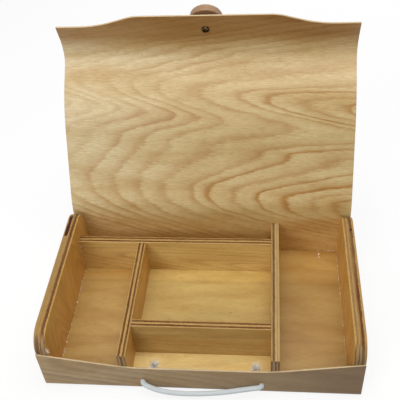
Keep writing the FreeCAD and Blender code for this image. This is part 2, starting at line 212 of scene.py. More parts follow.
# Edges sharper than this are shaded as edges, or are sanded where they are a board's
SHEET_SHARP = math.radians(50)
BOARD_SHARP = math.radians(40)
KNOB_SHARP = math.radians(35)
# How far, out of 100, a board's broad faces rule the shading of its edges
FACE_WEIGHT = 80

# Along the sheet, this share of the straight run behind a wavy edge is stretched to reach it
STRETCHED_SHARE = 0.85
# Distance of a sheet's inner columns from its sides
SIDE_MARGIN = 5 * MM
DRILL_DEPTH = 10 * MM

# Half the width of the stage's floor, and the place that the lamps point at
FLOOR_HALF = 6
LAMPS_AIM_AT = Vector((0, 0.05, 0.05))


def linear(hex_colour):
    """An sRGB hex colour as linear red, green, blue and alpha."""
    channels = [int(hex_colour[at:at + 2], 16) / 255 for at in (1, 3, 5)]
    return [c / 12.92 if c <= 0.04045 else ((c + 0.055) / 1.055) ** 2.4 for c in channels] + [1.0]


def grey(level):
    return (level, level, level, 1)


def shade(tint, share):
    """A colour with its red, green and blue multiplied by a share."""
    return [share * channel for channel in tint[:3]] + [1]


def per_mm(along, across, deep=1000):
    """The scale of a pattern whose features have these sizes in millimetres."""
    return [1 / (size * MM) for size in (along, across, deep)]


def length(millimetres, name, description):
    return FloatProperty(
        name=name, description=description, default=millimetres * MM, unit="LENGTH", precision=5)


def angle(degrees, name, description):
    return FloatProperty(
        name=name, description=description, default=math.radians(degrees), subtype="ANGLE")


def colour(hex_colour, name, description):
    return FloatVectorProperty(
        name=name, description=description, default=linear(hex_colour), size=4, subtype="COLOR", min=0, max=1)


class SheetSettings(bpy.types.PropertyGroup):
    thickness: length(2, "Thickness", "Thickness of the birch sheet")
    edge_round: length(0.4, "Edge rounding", "Radius of the sheet's sanded edges")
    row_step: length(1.5, "Row step", "Distance between rows of the mesh along the sheet")
    bottom_bend: length(4, "Bottom bend", "Inner radius of the bends along the bottom")
    front_height: length(55, "Front height", "Height of the front wall at its ends")
    dip_height: length(37, "Dip height", "Height of the front wall in the middle")
    dip_width: length(148, "Dip width", "Width of the level middle of the front wall's edge")
    dip_ease: length(17.6, "Dip easing", "Half width of the curve where the sloping edge meets the level one")
    hole_diameter: length(6, "Hole diameter", "Diameter of the two cord holes")
    hole_height: length(15.2, "Hole height", "Height of the cord holes above the underside")
    wall_gap: length(9, "Wall gap", "Distance of the back wall's end below the lid's first fold line")
    rear_run: length(43, "Rear run", "Distance of the rear lid's end from the fold line in the lid's middle")
    rear_lean: angle(25, "Rear lean", "Lean of the open lid behind the vertical, at its back corner")
    front_length: length(54.8, "Front length", "Length of the lid's front panel up to its moulded bend")
    front_lean: angle(47.5, "Front lean", "Lean of the open lid's front panel behind the vertical")
    flap_lean: angle(20, "Flap lean", "Lean of the open flap in front of the vertical")
    flap_length: length(29, "Flap length", "Length of the flap at its shoulders")
    tab_drop: length(15, "Tab drop", "How far the tab stands out beyond the shoulders")
    tab_width: length(156, "Tab width", "Width of the tab between the middles of its curves")
    tab_slope: length(42, "Tab slope", "Width of the slope between tab and shoulder")
    tab_ease: length(19.6, "Tab easing", "Half width of the curve between slope and shoulder")
    tip_ease: length(8, "Tip easing", "Half width of the tighter curve between slope and tab")
    corner_bend: length(7.9, "Corner bend", "Reach of the curves at the lid's back corner")
    rear_bend: length(10.2, "Rear bend", "Reach of the back corner's curve into the rear lid")
    lid_bend: length(30, "Lid bend", "Reach of the curve in the lid's middle, both ways")
    lip_bend: length(11, "Lip bend", "Reach of the moulded bend's curve into the front lid")
    fold_bend: length(8.3, "Fold bend", "Reach of the curves within the moulded bend")
    flap_bend: length(10.6, "Flap bend", "Reach of the moulded bend's curve into the flap")
    fold_run: length(11, "Fold run", "Distance past a fold line at which the sheet has turned wholly")
    lid_run: length(42, "Lid run", "The same distance past the fold line in the lid's middle")
    pale: colour("#d9c08f", "Pale wood", "Colour of the early wood")
    brown: colour("#b2813b", "Brown wood", "Colour of the late wood lines")
    # The outside's colours are darker and greyer than the inside's: partly painted shade of the front wall,
    # partly greyed by use
    shaded_outer_pale: colour("#ab916a", "Pale outside", "Colour of the early wood outside, greyed by use")
    shaded_outer_brown: colour("#7f6140", "Brown outside", "Colour of the late wood lines outside")
    edge_pale: colour("#e2d0ac", "Pale edge", "Colour of the outer plies at the sheet's edge")
    edge_brown: colour("#b99c6e", "Brown edge", "Colour of the middle ply at the sheet's edge")


class BoardSettings(bpy.types.PropertyGroup):
    bevel: length(0.5, "Bevel", "Width of the sanded edges")
    top_corner: length(21, "Top corner", "Radius of the end panels' top corners")
    low_corner: length(4.5, "Low corner", "Radius of the corners that stand in the sheet's bends")
    pale: colour("#e0b05e", "Pale wood", "Colour of the varnished faces")
    # Lit and shaded copies of the face colour: the back divider is paler as painted light, the cross divider
    # darker and greyer as painted shade
    lit_back_pale: colour("#dfbf79", "Pale back", "Colour of the back divider's faces, which stayed paler")
    shaded_cross_pale: colour("#c1a163", "Pale cross", "Colour of the cross divider's faces, which went greyer")
    brown: colour("#8f5f28", "Brown wood", "Colour of the veneer's grain lines")
    middle_floor: colour("#ceb26c", "Middle floor", "Colour of the floor in the middle bay")
    # Lit and shaded copies of the floor colour: the side bays are darker and browner, partly painted shade
    # and partly darker wood, and the front bay is paler as painted light, standing in for light over the
    # front wall
    shaded_side_floor: colour("#b89655", "Side floor", "Colour of the floor in the two side bays, browned by use")
    lit_front_floor: colour("#f9de96", "Front floor", "Colour of the floor in the front bay, which stayed pale")
    edge_pale: colour("#c19c5e", "Pale ply", "Colour of the plies that run along an edge")
    edge_brown: colour("#64350a", "Brown ply", "Colour of the plies cut across")
    worn_pale: colour("#c4a56c", "Worn pale ply", "Colour of the pale plies of the right divider's worn edge")
    worn_brown: colour("#6b411a", "Worn brown ply", "Colour of the plies cut across on that edge")


class GlueSettings(bpy.types.PropertyGroup):
    spacing: length(1.8, "Spacing", "Distance between the beads of glue")
    size: length(0.95, "Size", "Size of a bead of glue")
    scatter: length(0.6, "Scatter", "How far the beads lie off their line")
    share: FloatProperty(name="Share", description="Share of the beads that is still there", default=0.65)
    lift: length(0.1, "Lift", "Height of the glue lines above the floor")
    patch_width: length(22, "Patch width", "Width of the glue patch in the back right corner")
    patch_depth: length(11, "Patch depth", "Depth of that patch from back to front")
    chip_height: length(57.5, "Chip height", "Height at which the left end panel's chipped corner starts")
    chip_inset: length(0.2, "Chip inset", "Depth of the splinters' roots behind the panel's front")
    splinter_step: length(0.35, "Splinter step", "Distance between the splinters")
    splinter_length: length(4.2, "Splinter length", "Length of the longest splinters")
    splinters: IntProperty(name="Splinters", description="Number of splinters", default=20, min=0)


class CordSettings(bpy.types.PropertyGroup):
    diameter: length(5.5, "Diameter", "Diameter of the cord")
    pitch: length(18, "Pitch", "Length of one full turn of a strand")
    carriers: IntProperty(name="Strands", description="Strands that wind each way", default=8, min=3, max=16)
    fibre_length: length(8, "Fibre length", "Length of the frayed fibres")
    fibres: IntProperty(name="Fibres", description="Number of frayed fibres at each end", default=150, min=0)
    # The loop's cotton is greyer and bluer than the knots' cotton, which is whiter as painted light, standing
    # in for light that the front wall's shadow takes from the knots and frayed ends
    white: colour("#d5dcdd", "White", "Colour of the cord where hands touch it")
    clean: colour("#f7f4ee", "Clean white", "Colour of the knots and of the frayed ends")


class KnobSettings(bpy.types.PropertyGroup):
    inset: length(20.5, "Inset", "Distance of the knob's axis from the tab's edge")
    diameter: length(36, "Diameter", "Diameter of the knob's disc")
    disc: length(9.5, "Disc", "Thickness of the knob's disc")
    neck: length(16, "Neck", "Diameter of the knob's neck")
    neck_length: length(8.5, "Neck length", "Length of the knob's neck")
    rim: length(2.5, "Rim rounding", "Radius of the disc's outer rim")
    lower_rim: length(1.2, "Lower rim rounding", "Radius of the disc's rim towards the flap")
    fillet: length(1.5, "Fillet", "Radius between neck and disc")
    foot: length(0.3, "Foot", "How far the neck flares at its foot, over twice that height")
    crown: length(0.2, "Crown", "How far the disc's face bulges")
    pale: colour("#9b7854", "Pale beech", "Colour of the beech")
    brown: colour("#785239", "Brown beech", "Colour of the beech's flecks")


class StageSettings(bpy.types.PropertyGroup):
    camera_at: FloatVectorProperty(
        name="Camera place", description="Where the camera stands", subtype="TRANSLATION",
        default=(0.066973, -0.475429, 0.627381))
    pitch: angle(42.913, "Pitch", "How far the camera looks down")
    yaw: angle(7.6424, "Yaw", "How far the camera is turned to the left")
    roll: angle(-4.6949, "Roll", "How far the camera leans")
    lens: FloatProperty(
        name="Lens", description="Focal length on a 36 mm sensor", default=60.892, unit="CAMERA")
    sky: FloatProperty(name="Sky", description="Strength of the even light from all round", default=0.26)
    key: FloatProperty(name="Key lamp", description="Power of the lamp overhead", default=11, unit="POWER")
    window: FloatProperty(
        name="Window lamp", description="Power of the lamp at the front left", default=6.8, unit="POWER")
    back: FloatProperty(
        name="Back lamp", description="Power of the lamp behind the lid", default=5, unit="POWER")


GROUPS = {
    "artbox_sheet": SheetSettings,
    "artbox_boards": BoardSettings,
    "artbox_glue": GlueSettings,
    "artbox_cord": CordSettings,
    "artbox_knob": KnobSettings,
    "artbox_stage": StageSettings,
}


def add_node(tree, kind, inputs=None, stops=None, **settings):
    """Add a node with its settings and colour stops. Each input is a value, a socket, or a node.

    Of a node, the first output that its settings leave in use is linked.
    """
    made = tree.nodes.new(kind)
    for name, setting in settings.items():
        setattr(made, name, setting)
    for socket, source in (inputs or {}).items():
        if isinstance(source, bpy.types.Node):
            source = next(output for output in source.outputs if output.enabled)
        if isinstance(source, bpy.types.NodeSocket):
            tree.links.new(source, made.inputs[socket])
        else:
            made.inputs[socket].default_value = source
    for index, (position, stop_colour) in enumerate(stops or []):
        ramp = made.color_ramp.elements
        stop = ramp[index] if index < len(ramp) else ramp.new(position)
        stop.position = position
        stop.color = stop_colour
    return made


def new_material(name):
    """An empty material, and the function that adds nodes to it."""
    made = bpy.data.materials.new(name)
    made.use_nodes = True
    made.node_tree.nodes.clear()
    return made, partial(add_node, made.node_tree)


def finish_material(add, sockets):
    """End a material with a shader that has these sockets."""
    shader = add("ShaderNodeBsdfPrincipled", sockets)
    add("ShaderNodeOutputMaterial", {"Surface": shader})


def noise_pattern(add, place, scale, detail, roughness=0.5, location=(0, 0, 0)):
    """Noise whose features have the sizes that a scale gives."""
    scaled = add("ShaderNodeMapping", {"Vector": place, "Scale": scale, "Location": location})
    return add("ShaderNodeTexNoise", {"Vector": scaled, "Scale": 1, "Detail": detail, "Roughness": roughness})


def ring_lines(add, grain, fibre, flames, ring_width):
    """How dark the rings of a rotary cut veneer are: nested flames, each ending in a sharp line."""
    axes = add("ShaderNodeSeparateXYZ", {0: grain})
    along = axes.outputs["X"]
    # The log leaned a little in the lathe, so the flames drift by 0.12 mm for each millimetre along the grain
    drifted = add("ShaderNodeMath", {0: along, 1: 0.12, 2: axes.outputs["Y"]}, operation="MULTIPLY_ADD")
    flame_at = add("ShaderNodeMath", {0: drifted, 1: FLAME_SPAN_MM * MM}, operation="DIVIDE")
    flame = add("ShaderNodeValToRGB", {0: flame_at}, stops=[
        (at / FLAME_SPAN_MM, grey(pull / LONGEST_PULL_MM)) for at, pull in flames])
    flame.color_ramp.interpolation = "CARDINAL"
    pull = add("ShaderNodeMath", {0: flame, 1: LONGEST_PULL_MM * MM}, operation="MULTIPLY")
    # Beyond the flames' tips the rings are drawn out, by three quarters for each 100 mm of pull, and before
    # them they run on almost plain, shifted by less than half of it
    spread = add("ShaderNodeMath", {0: pull, 1: 7.5, 2: 1.0}, operation="MULTIPLY_ADD")
    pulled = add("ShaderNodeMath", {0: along, 1: pull}, operation="SUBTRACT")
    drawn = add("ShaderNodeMath", {0: pulled, 1: spread}, operation="DIVIDE")
    plain = add("ShaderNodeMath", {0: pull, 1: -0.4, 2: along}, operation="MULTIPLY_ADD")
    ring_at = add("ShaderNodeMath", {0: drawn, 1: plain}, operation="MINIMUM")
    # Rings waver by a few millimetres
    waver = noise_pattern(add, grain, per_mm(30.3, 12.5), detail=4, roughness=0.6)
    wavered = add("ShaderNodeMath", {0: waver, 1: 15 * MM, 2: ring_at}, operation="MULTIPLY_ADD")
    # Each fibre carries the ring's colour up to 2 mm along the grain, so the lines have ragged edges
    carried = add("ShaderNodeMapRange", {
        "Value": fibre, "From Min": 0.25, "From Max": 0.75, "To Min": -2 * MM, "To Max": 2 * MM})
    ragged = add("ShaderNodeMath", {0: wavered, 1: carried})
    # Years differ, so rings come wider and narrower over about 50 mm, and some of their lines are bolder
    growth_at = add("ShaderNodeMath", {0: wavered, 1: 50 * MM}, operation="DIVIDE")
    growth = add("ShaderNodeTexNoise", {"W": growth_at, "Scale": 1, "Detail": 1}, noise_dimensions="1D")
    uneven = add("ShaderNodeMath", {0: growth, 1: 30 * MM, 2: ragged}, operation="MULTIPLY_ADD")
    rings = add("ShaderNodeMath", {0: uneven, 1: ring_width}, operation="DIVIDE")
    ring = add("ShaderNodeMath", {0: rings}, operation="FRACT")
    count = add("ShaderNodeMath", {0: rings}, operation="FLOOR")
    year = add("ShaderNodeTexWhiteNoise", {"W": count}, noise_dimensions="1D")
    strength = add("ShaderNodeMapRange", {"Value": year, "To Min": 0.5, "To Max": 1.3})
    line = add("ShaderNodeValToRGB", {0: ring}, stops=[(share, grey(dark)) for share, dark in RING_PROFILE])
    return add("ShaderNodeMath", {0: line, 1: strength}, operation="MULTIPLY")


def veneer(name, pale, brown, flames, ring_width, contrast, faint, roughness, tones, sides):
    """Rotary cut birch, sanded and varnished. The knife peels the log, so its rings come out as flames.

    flames lists how far the rings are pulled along the grain, in millimetres, at distances across it. The
    lines are fainter before the place faint along the grain. Fine fibres and short dark pores lie along it,
    and the thin varnish gives a low gloss. tones lists tints of the varnish, with painted highlight and shade
    among them, and how strong the lines are, at distances across the grain, and sides the tints from the left
    edge of the box to the right, partly painted light. The grain map is in metres, with the grain along its
    first axis.
    """
    material, add = new_material(name)
    grain = add("ShaderNodeUVMap", uv_map=GRAIN_MAP)
    axes = add("ShaderNodeSeparateXYZ", {0: grain})
    along, across = axes.outputs["X"], axes.outputs["Y"]
    # Fibres about 1.2 mm wide and 9.5 mm long, drawn coarser than the real ones so that they show
    fibre = noise_pattern(add, grain, per_mm(9.524, 1.1905), detail=4, roughness=0.65)
    lines = ring_lines(add, grain, fibre, flames, ring_width)
    # The lines fade in places
    fade = noise_pattern(add, grain, per_mm(71.43, 25), detail=2, location=(3, 7, 0))
    faded = add("ShaderNodeMapRange", {
        "Value": fade, "From Min": 0.3, "From Max": 0.6, "To Min": 0.55 * contrast, "To Max": contrast})
    # The faint side widens by 0.5 mm for each millimetre across the grain, and ends over 80 mm
    clear_at = add("ShaderNodeMath", {0: across, 1: -0.5, 2: along}, operation="MULTIPLY_ADD")
    clear = add("ShaderNodeMapRange", {
        "Value": clear_at, "From Min": faint - 80 * MM, "From Max": faint, "To Min": 0.36})
    tone_at = add("ShaderNodeMath", {0: across, 1: FLAME_SPAN_MM * MM}, operation="DIVIDE")
    tone = add("ShaderNodeValToRGB", {0: tone_at}, stops=[
        (at / FLAME_SPAN_MM, tint_and_lines) for at, *tint_and_lines in tones])
    for factor in (clear, faded, tone.outputs["Alpha"]):
        lines = add("ShaderNodeMath", {0: lines, 1: factor}, operation="MULTIPLY")
    wood = add("ShaderNodeMix", {SHARE: lines, FIRST: pale, SECOND: brown}, data_type="RGBA")
    fibre_tint = add("ShaderNodeValToRGB", {0: fibre}, stops=[(0.32, (0.74, 0.69, 0.6, 1)), (0.66, grey(1))])
    # Patches that took the varnish darker or lighter
    patch = noise_pattern(add, grain, per_mm(83.33, 20.83), detail=3, location=(11, 2, 0))
    patch_tint = add("ShaderNodeValToRGB", {0: patch}, stops=[(0.32, (0.84, 0.75, 0.6, 1)), (0.6, grey(1))])
    side_at = add("ShaderNodeMapRange", {"Value": along, "From Min": WRAP_LOW.x, "From Max": WRAP_HIGH.x})
    side = add("ShaderNodeValToRGB", {0: side_at}, stops=[
        (share, tint + (1,)) for share, tint in zip((0, 0.5, 1), sides)])
    # Woods with bold rings have bold fibres too
    boldness = min(0.3 + contrast, 1.0)
    for share, tint in ((boldness, fibre_tint), (1.0, patch_tint), (1.0, tone), (1.0, side)):
        wood = add("ShaderNodeMix", {SHARE: share, FIRST: wood, SECOND: tint}, data_type="RGBA",
                   blend_type="MULTIPLY")
    # Pores: short dark dashes, few and far between, from a pattern about 8 mm long and 1 mm wide
    pore = noise_pattern(add, grain, per_mm(7.692, 1.1111), detail=1, location=(5, 1, 0))
    pore_share = add("ShaderNodeMapRange", {"Value": pore, "From Min": 0.7, "From Max": 0.78, "To Max": 0.6})
    pored = add("ShaderNodeMix", {
        SHARE: pore_share, FIRST: wood, SECOND: linear("#6b4421")}, data_type="RGBA")
    relief = add("ShaderNodeBump", {"Strength": 0.25, "Distance": 0.15 * MM, "Height": fibre})
    finish_material(add, {"Base Color": pored, "Roughness": roughness, "IOR": 1.5, "Normal": relief})
    return material


def ply_edge(name, layers, pale, brown, void_mm):
    """The sanded edge of birch plywood. Plies along the edge stay pale, those cut across drink more varnish.

    At the ends of a board, which face the front or back, every other ply is cut across, and the ends are
    greyer:
    partly greyer varnish, partly painted shade. The grain map gives metres along the edge, and the share of
    the thickness across it. layers lists where each ply ends, from 0 to 1, and how dark it is. void_mm is
    where a strip of the last ply but one is missing, from start to end, drawn dark as painted shade.
    """
    material, add = new_material(name)
    grain = add("ShaderNodeUVMap", uv_map=GRAIN_MAP)
    axes = add("ShaderNodeSeparateXYZ", {0: grain})
    # Pores of the plies cut across, as specks 2.4 mm long, twelve in the thickness
    speck = noise_pattern(add, grain, (1 / (2.381 * MM), 12, 1), detail=4, roughness=0.7)
    # Glue lines waver by a tenth of the thickness over about 14 mm, and are ragged where the specks are
    waver = noise_pattern(add, grain, (1 / (14.29 * MM), 3, 1), detail=5, roughness=0.7)
    across = add("ShaderNodeMath", {0: waver, 1: 0.2, 2: axes.outputs["Y"]}, operation="MULTIPLY_ADD")
    ragged = add("ShaderNodeMath", {0: speck, 1: 0.22, 2: across}, operation="MULTIPLY_ADD")
    shifted = add("ShaderNodeMath", {0: ragged, 1: 0.21}, operation="SUBTRACT")
    # Along the sides each ply is as dark as its layer says, and at the ends every other ply is cut across
    cuts = []
    for darks in ([dark for _, dark in layers], [(index + 1) % 2 for index in range(len(layers))]):
        stops = [(0, grey(darks[0]))]
        for (end, _), before, after in zip(layers, darks, darks[1:]):
            stops += [(end - 0.03, grey(before)), (end + 0.03, grey(after))]
        cuts.append(add("ShaderNodeValToRGB", {0: shifted}, stops=stops))
    # Ends that face the front or back, by the normal of the surface
    facing = add("ShaderNodeSeparateXYZ", {0: add("ShaderNodeTexCoord").outputs["Normal"]})
    outward = add("ShaderNodeMath", {0: facing.outputs["Y"]}, operation="ABSOLUTE")
    is_end = add("ShaderNodeMapRange", {"Value": outward, "From Min": 0.5, "From Max": 0.8})
    cut = add("ShaderNodeMix", {SHARE: is_end, FIRST: cuts[0], SECOND: cuts[1]}, data_type="RGBA")
    dark = add("ShaderNodeValToRGB", {0: speck}, stops=[(0.3, shade(brown, 0.4)), (0.7, shade(brown, 1.35))])
    # Streaks along the pale plies, 20 mm long
    streak = noise_pattern(
        add, grain, (1 / (20 * MM), 26, 1), detail=4, roughness=0.65, location=(1, 4, 0))
    light = add("ShaderNodeValToRGB", {0: streak}, stops=[(0.3, shade(pale, 0.6)), (0.65, pale)])
    # In places, 45 mm long, a cut ply is paler than elsewhere
    depth = noise_pattern(add, grain, (1 / (45.45 * MM), 4, 1), detail=3, location=(6, 3, 0))
    deepness = add("ShaderNodeMapRange", {
        "Value": depth, "From Min": 0.35, "From Max": 0.6, "To Min": 0.75, "To Max": 1.0})
    amount = add("ShaderNodeMath", {0: cut, 1: deepness}, operation="MULTIPLY")
    plies = add("ShaderNodeMix", {SHARE: amount, FIRST: light, SECOND: dark}, data_type="RGBA")
    # The void is painted shade, dark, with ends that are ragged by the specks
    ragged_by = 6 * MM
    reached = add("ShaderNodeMath", {0: speck, 1: ragged_by, 2: axes.outputs["X"]}, operation="MULTIPLY_ADD")
    start, end = (place * MM for place in void_mm)
    inside = add("ShaderNodeMath", {
        0: reached, 1: (start + end + ragged_by) / 2, 2: (end - start) / 2}, operation="COMPARE")
    inner, outer = layers[-3][0], layers[-2][0]
    strip = add("ShaderNodeMath", {
        0: shifted, 1: (inner + outer) / 2, 2: (outer - inner) / 2}, operation="COMPARE")
    missing = add("ShaderNodeMath", {0: inside, 1: strip}, operation="MULTIPLY")
    shaded_void = add("ShaderNodeMix", {SHARE: missing, FIRST: plies, SECOND: linear("#3d160a")}, data_type="RGBA")
    # Partly painted shade: ends that face the front or back are mixed towards a dull grey, partly greyer
    # varnish on the end grain
    greyed = add("ShaderNodeMath", {0: is_end, 1: 0.35}, operation="MULTIPLY")
    edge = add("ShaderNodeMix", {SHARE: greyed, FIRST: shaded_void, SECOND: linear("#85725f")}, data_type="RGBA")
    relief = add("ShaderNodeBump", {"Strength": 0.5, "Distance": 0.25 * MM, "Height": speck})
    finish_material(add, {
        "Base Color": edge, "Roughness": 0.65, "IOR": 1.5, "Specular IOR Level": 0.2, "Normal": relief})
    return material


def turned_beech(pale, brown):
    """Steamed beech, turned and oiled: pinkish, with short brown ray flecks and faint rings."""
    material, add = new_material("turned_beech")
    place = add("ShaderNodeTexCoord").outputs["Object"]
    # Flecks 4 mm long and 0.7 mm wide, and rings 4 mm apart that run 50 mm along the grain
    fleck = noise_pattern(add, place, per_mm(3.846, 0.7143, 0.7143), detail=2)
    share = add("ShaderNodeValToRGB", {0: fleck}, stops=[(0.5, grey(0)), (0.72, grey(1))])
    ring = noise_pattern(add, place, per_mm(50, 4.167, 4.167), detail=3)
    tint = add("ShaderNodeValToRGB", {0: ring}, stops=[(0.3, shade(pale, 0.8)), (0.65, pale)])
    amount = add("ShaderNodeMath", {0: share, 1: 0.6}, operation="MULTIPLY")
    wood = add("ShaderNodeMix", {SHARE: amount, FIRST: tint, SECOND: brown}, data_type="RGBA")
    relief = add("ShaderNodeBump", {"Strength": 0.2, "Distance": 0.1 * MM, "Height": fleck})
    finish_material(add, {"Base Color": wood, "Roughness": 0.42, "IOR": 1.5, "Normal": relief})
    return material


def cotton_yarn(name, white):
    """White cotton yarn: soft and matt, with a faint fuzz of 0.4 mm and painted shade that greys it a little
    in its hollows.
    """
    material, add = new_material(name)
    place = add("ShaderNodeTexCoord").outputs["Object"]
    yarn = noise_pattern(add, place, per_mm(0.4167, 0.4167, 0.4167), detail=3)
    # Painted shade: the hollows of the fuzz are a little greyer
    tint = add("ShaderNodeValToRGB", {0: yarn}, stops=[(0.3, shade(white, 0.82)), (0.6, white)])
    relief = add("ShaderNodeBump", {"Strength": 0.3, "Distance": 0.1 * MM, "Height": yarn})
    finish_material(add, {
        "Base Color": tint, "Roughness": 0.85, "Sheen Weight": 0.3, "Sheen Roughness": 0.5, "Normal": relief})
    return material


def mottled(name, size_mm, detail, stops, finish):
    """A material whose colour varies in clouds of one size, with the shader sockets of its finish."""
    material, add = new_material(name)
    place = add("ShaderNodeTexCoord").outputs["Object"]
    cloud = noise_pattern(add, place, per_mm(size_mm, size_mm, size_mm), detail)
    tint = add("ShaderNodeValToRGB", {0: cloud}, stops=[
        (share, linear(hex_colour)) for share, hex_colour in stops])
    finish_material(add, {"Base Color": tint, **finish})
    return material


def bronzed_steel():
    """A bronzed steel screw: nearly black, worn to brassy brown in places, with a sharp glint."""
    return mottled("bronzed_steel", 2.381, 4, [(0.45, "#2a241e"), (0.7, "#7a5f35")], {
        "Metallic": 1.0, "Roughness": 0.22})


def dried_glue():
    """Dried wood glue that was squeezed out of the joints: milky, brittle and slightly glossy."""
    return mottled("dried_glue", 3.333, 3, [(0.35, "#cfae82"), (0.65, "#f1e6d6")], {"Roughness": 0.35})


def torn_birch():
    """Birch torn open where a corner chipped: bare pale fibres, dry and matt, a little browner in places."""
    return mottled("torn_birch", 1.1111, 2, [(0.3, "#d8bd92"), (0.6, "#f4ead6")], {"Roughness": 0.8})


def link_piece(name, mesh, materials):
    piece = bpy.data.objects.new(name, mesh)
    bpy.context.scene.collection.objects.link(piece)
    for material in materials:
        mesh.materials.append(material)
    return piece


def free_to_mesh(shape, name):
    """A mesh with the shape's faces. The shape is freed."""
    mesh = bpy.data.meshes.new(name)
    shape.to_mesh(mesh)
    shape.free()
    return mesh


def evaluated_mesh(piece):
    """The piece's mesh with its modifiers applied, as a plain mesh."""
    graph = bpy.context.evaluated_depsgraph_get()
    evaluated = piece.evaluated_get(graph)
    return bpy.data.meshes.new_from_object(evaluated, preserve_all_data_layers=True, depsgraph=graph)


def apply_modifiers(piece):
    mesh = evaluated_mesh(piece)
    piece.modifiers.clear()
    piece.data = mesh


def growth_tree(name, sizes):
    """An empty Geometry Nodes tree that takes geometry and named sizes.

    Gives the tree, the function that adds nodes to it, its inputs and their identifiers.
    """
    tree = bpy.data.node_groups.new(name, "GeometryNodeTree")
    tree.interface.new_socket("Geometry", in_out="INPUT", socket_type="NodeSocketGeometry")
    tree.interface.new_socket("Geometry", in_out="OUTPUT", socket_type="NodeSocketGeometry")
    keys = {}
    for size, kind in sizes.items():
        keys[size] = tree.interface.new_socket(size, in_out="INPUT", socket_type=kind).identifier
    add = partial(add_node, tree)
    return tree, add, add("NodeGroupInput").outputs, keys


def finish_growth(add, instances, material):
    """End a tree: instances made real, shaded smooth and given their material."""
    real = add("GeometryNodeRealizeInstances", {0: instances})
    smooth = add("GeometryNodeSetShadeSmooth", {0: real})
    finished = add("GeometryNodeSetMaterial", {0: smooth, "Material": material})
    add("NodeGroupOutput", {0: finished})


def grow(name, points, edges, tree, keys, sizes):
    """A plain mesh piece that a tree grows on a few points and edges."""
    mesh = bpy.data.meshes.new(name)
    mesh.from_pydata(points, edges, [])
    piece = link_piece(name, mesh, [])
    growth = piece.modifiers.new(tree.name, "NODES")
    growth.node_group = tree
    for size, setting in sizes.items():
        growth[keys[size]] = setting
    apply_modifiers(piece)
    return piece


def bead_tree(material):
    """Flattened beads strewn along lines, as glue that was squeezed out of a joint."""
    tree, add, inputs, keys = growth_tree("glue_beads", {
        "Spacing": "NodeSocketFloat", "Size": "NodeSocketFloat", "Scatter": "NodeSocketFloat",
        "Share": "NodeSocketFloat", "Seed": "NodeSocketInt"})
    seed = inputs["Seed"]
    line = add("GeometryNodeMeshToCurve", {0: inputs["Geometry"]})
    even = add("GeometryNodeResampleCurve", {0: line, "Length": inputs["Spacing"]}, mode="LENGTH")
    # Beads lie off their line to all sides, but hardly above it, and are flatter than they are wide
    astray, flat, turn = (
        add("FunctionNodeRandomValue", {0: least, 1: most, "Seed": seed}, data_type="FLOAT_VECTOR")
        for least, most in (
            ((-1, -1, 0), (1, 1, 0.4)),
            ((0.3, 0.4, 0.2), (1.3, 1.6, 0.7)),
            ((-0.3, -0.3, -0.5), (0.3, 0.3, 0.5))))
    offset = add("ShaderNodeVectorMath", {0: astray, "Scale": inputs["Scatter"]}, operation="SCALE")
    strewn = add("GeometryNodeSetPosition", {0: even, "Offset": offset})
    bead = add("GeometryNodeMeshIcoSphere", {"Radius": 1.0, "Subdivisions": 1})
    sized = add("ShaderNodeVectorMath", {0: flat, "Scale": inputs["Size"]}, operation="SCALE")
    kept = add("FunctionNodeRandomValue", {"Probability": inputs["Share"], "Seed": seed}, data_type="BOOLEAN")
    beads = add("GeometryNodeInstanceOnPoints", {
        "Points": strewn, "Selection": kept, "Instance": bead, "Rotation": turn, "Scale": sized})
    finish_growth(add, beads, material)
    return tree, keys


def fibre_tree(name, material):
    """Thin curved fibres that stand on points and lean out of one direction, as on a frayed end."""
    tree, add, inputs, keys = growth_tree(name, {
        "Length": "NodeSocketFloat", "Thickness": "NodeSocketFloat", "Direction": "NodeSocketVector",
        "Spread": "NodeSocketFloat", "Seed": "NodeSocketInt"})
    seed, length_input = inputs["Seed"], inputs["Length"]
    line = add("GeometryNodeCurvePrimitiveLine", {"Start": (0, 0, 0), "End": (0, 0, 1)})
    even = add("GeometryNodeResampleCurve", {0: line, "Count": 6})
    height = add("ShaderNodeSeparateXYZ", {0: add("GeometryNodeInputPosition")})
    # The tip curls aside by 0.35 of the length
    curl = add("ShaderNodeMath", {0: height.outputs["Z"], 1: 2.0}, operation="POWER")
    aside = add("ShaderNodeCombineXYZ", {"X": curl})
    bend = add("ShaderNodeVectorMath", {0: aside, "Scale": 0.35}, operation="SCALE")
    bent = add("GeometryNodeSetPosition", {0: even, "Offset": bend})
    thin = add("ShaderNodeMath", {0: inputs["Thickness"], 1: length_input}, operation="DIVIDE")
    ring = add("GeometryNodeCurvePrimitiveCircle", {"Resolution": 3, "Radius": thin})
    fibre = add("GeometryNodeCurveToMesh", {"Curve": bent, "Profile Curve": ring, "Fill Caps": True})
    astray = add("FunctionNodeRandomValue", {
        0: (-1, -1, -1), 1: (1, 1, 1), "Seed": seed}, data_type="FLOAT_VECTOR")
    apart = add("ShaderNodeVectorMath", {0: astray, "Scale": inputs["Spread"]}, operation="SCALE")
    lean = add("ShaderNodeVectorMath", {0: apart, 1: inputs["Direction"]}, operation="ADD")
    turn = add("FunctionNodeAlignRotationToVector", {"Vector": lean}, axis="Z")
    # Some fibres are less than half as long as others
    size = add("FunctionNodeRandomValue", {2: 0.45, 3: 1.0, "Seed": seed}, data_type="FLOAT")
    scale = add("ShaderNodeMath", {0: size, 1: length_input}, operation="MULTIPLY")
    fibres = add("GeometryNodeInstanceOnPoints", {
        "Points": inputs["Geometry"], "Instance": fibre, "Rotation": turn, "Scale": scale})
    finish_growth(add, fibres, material)
    return tree, keys


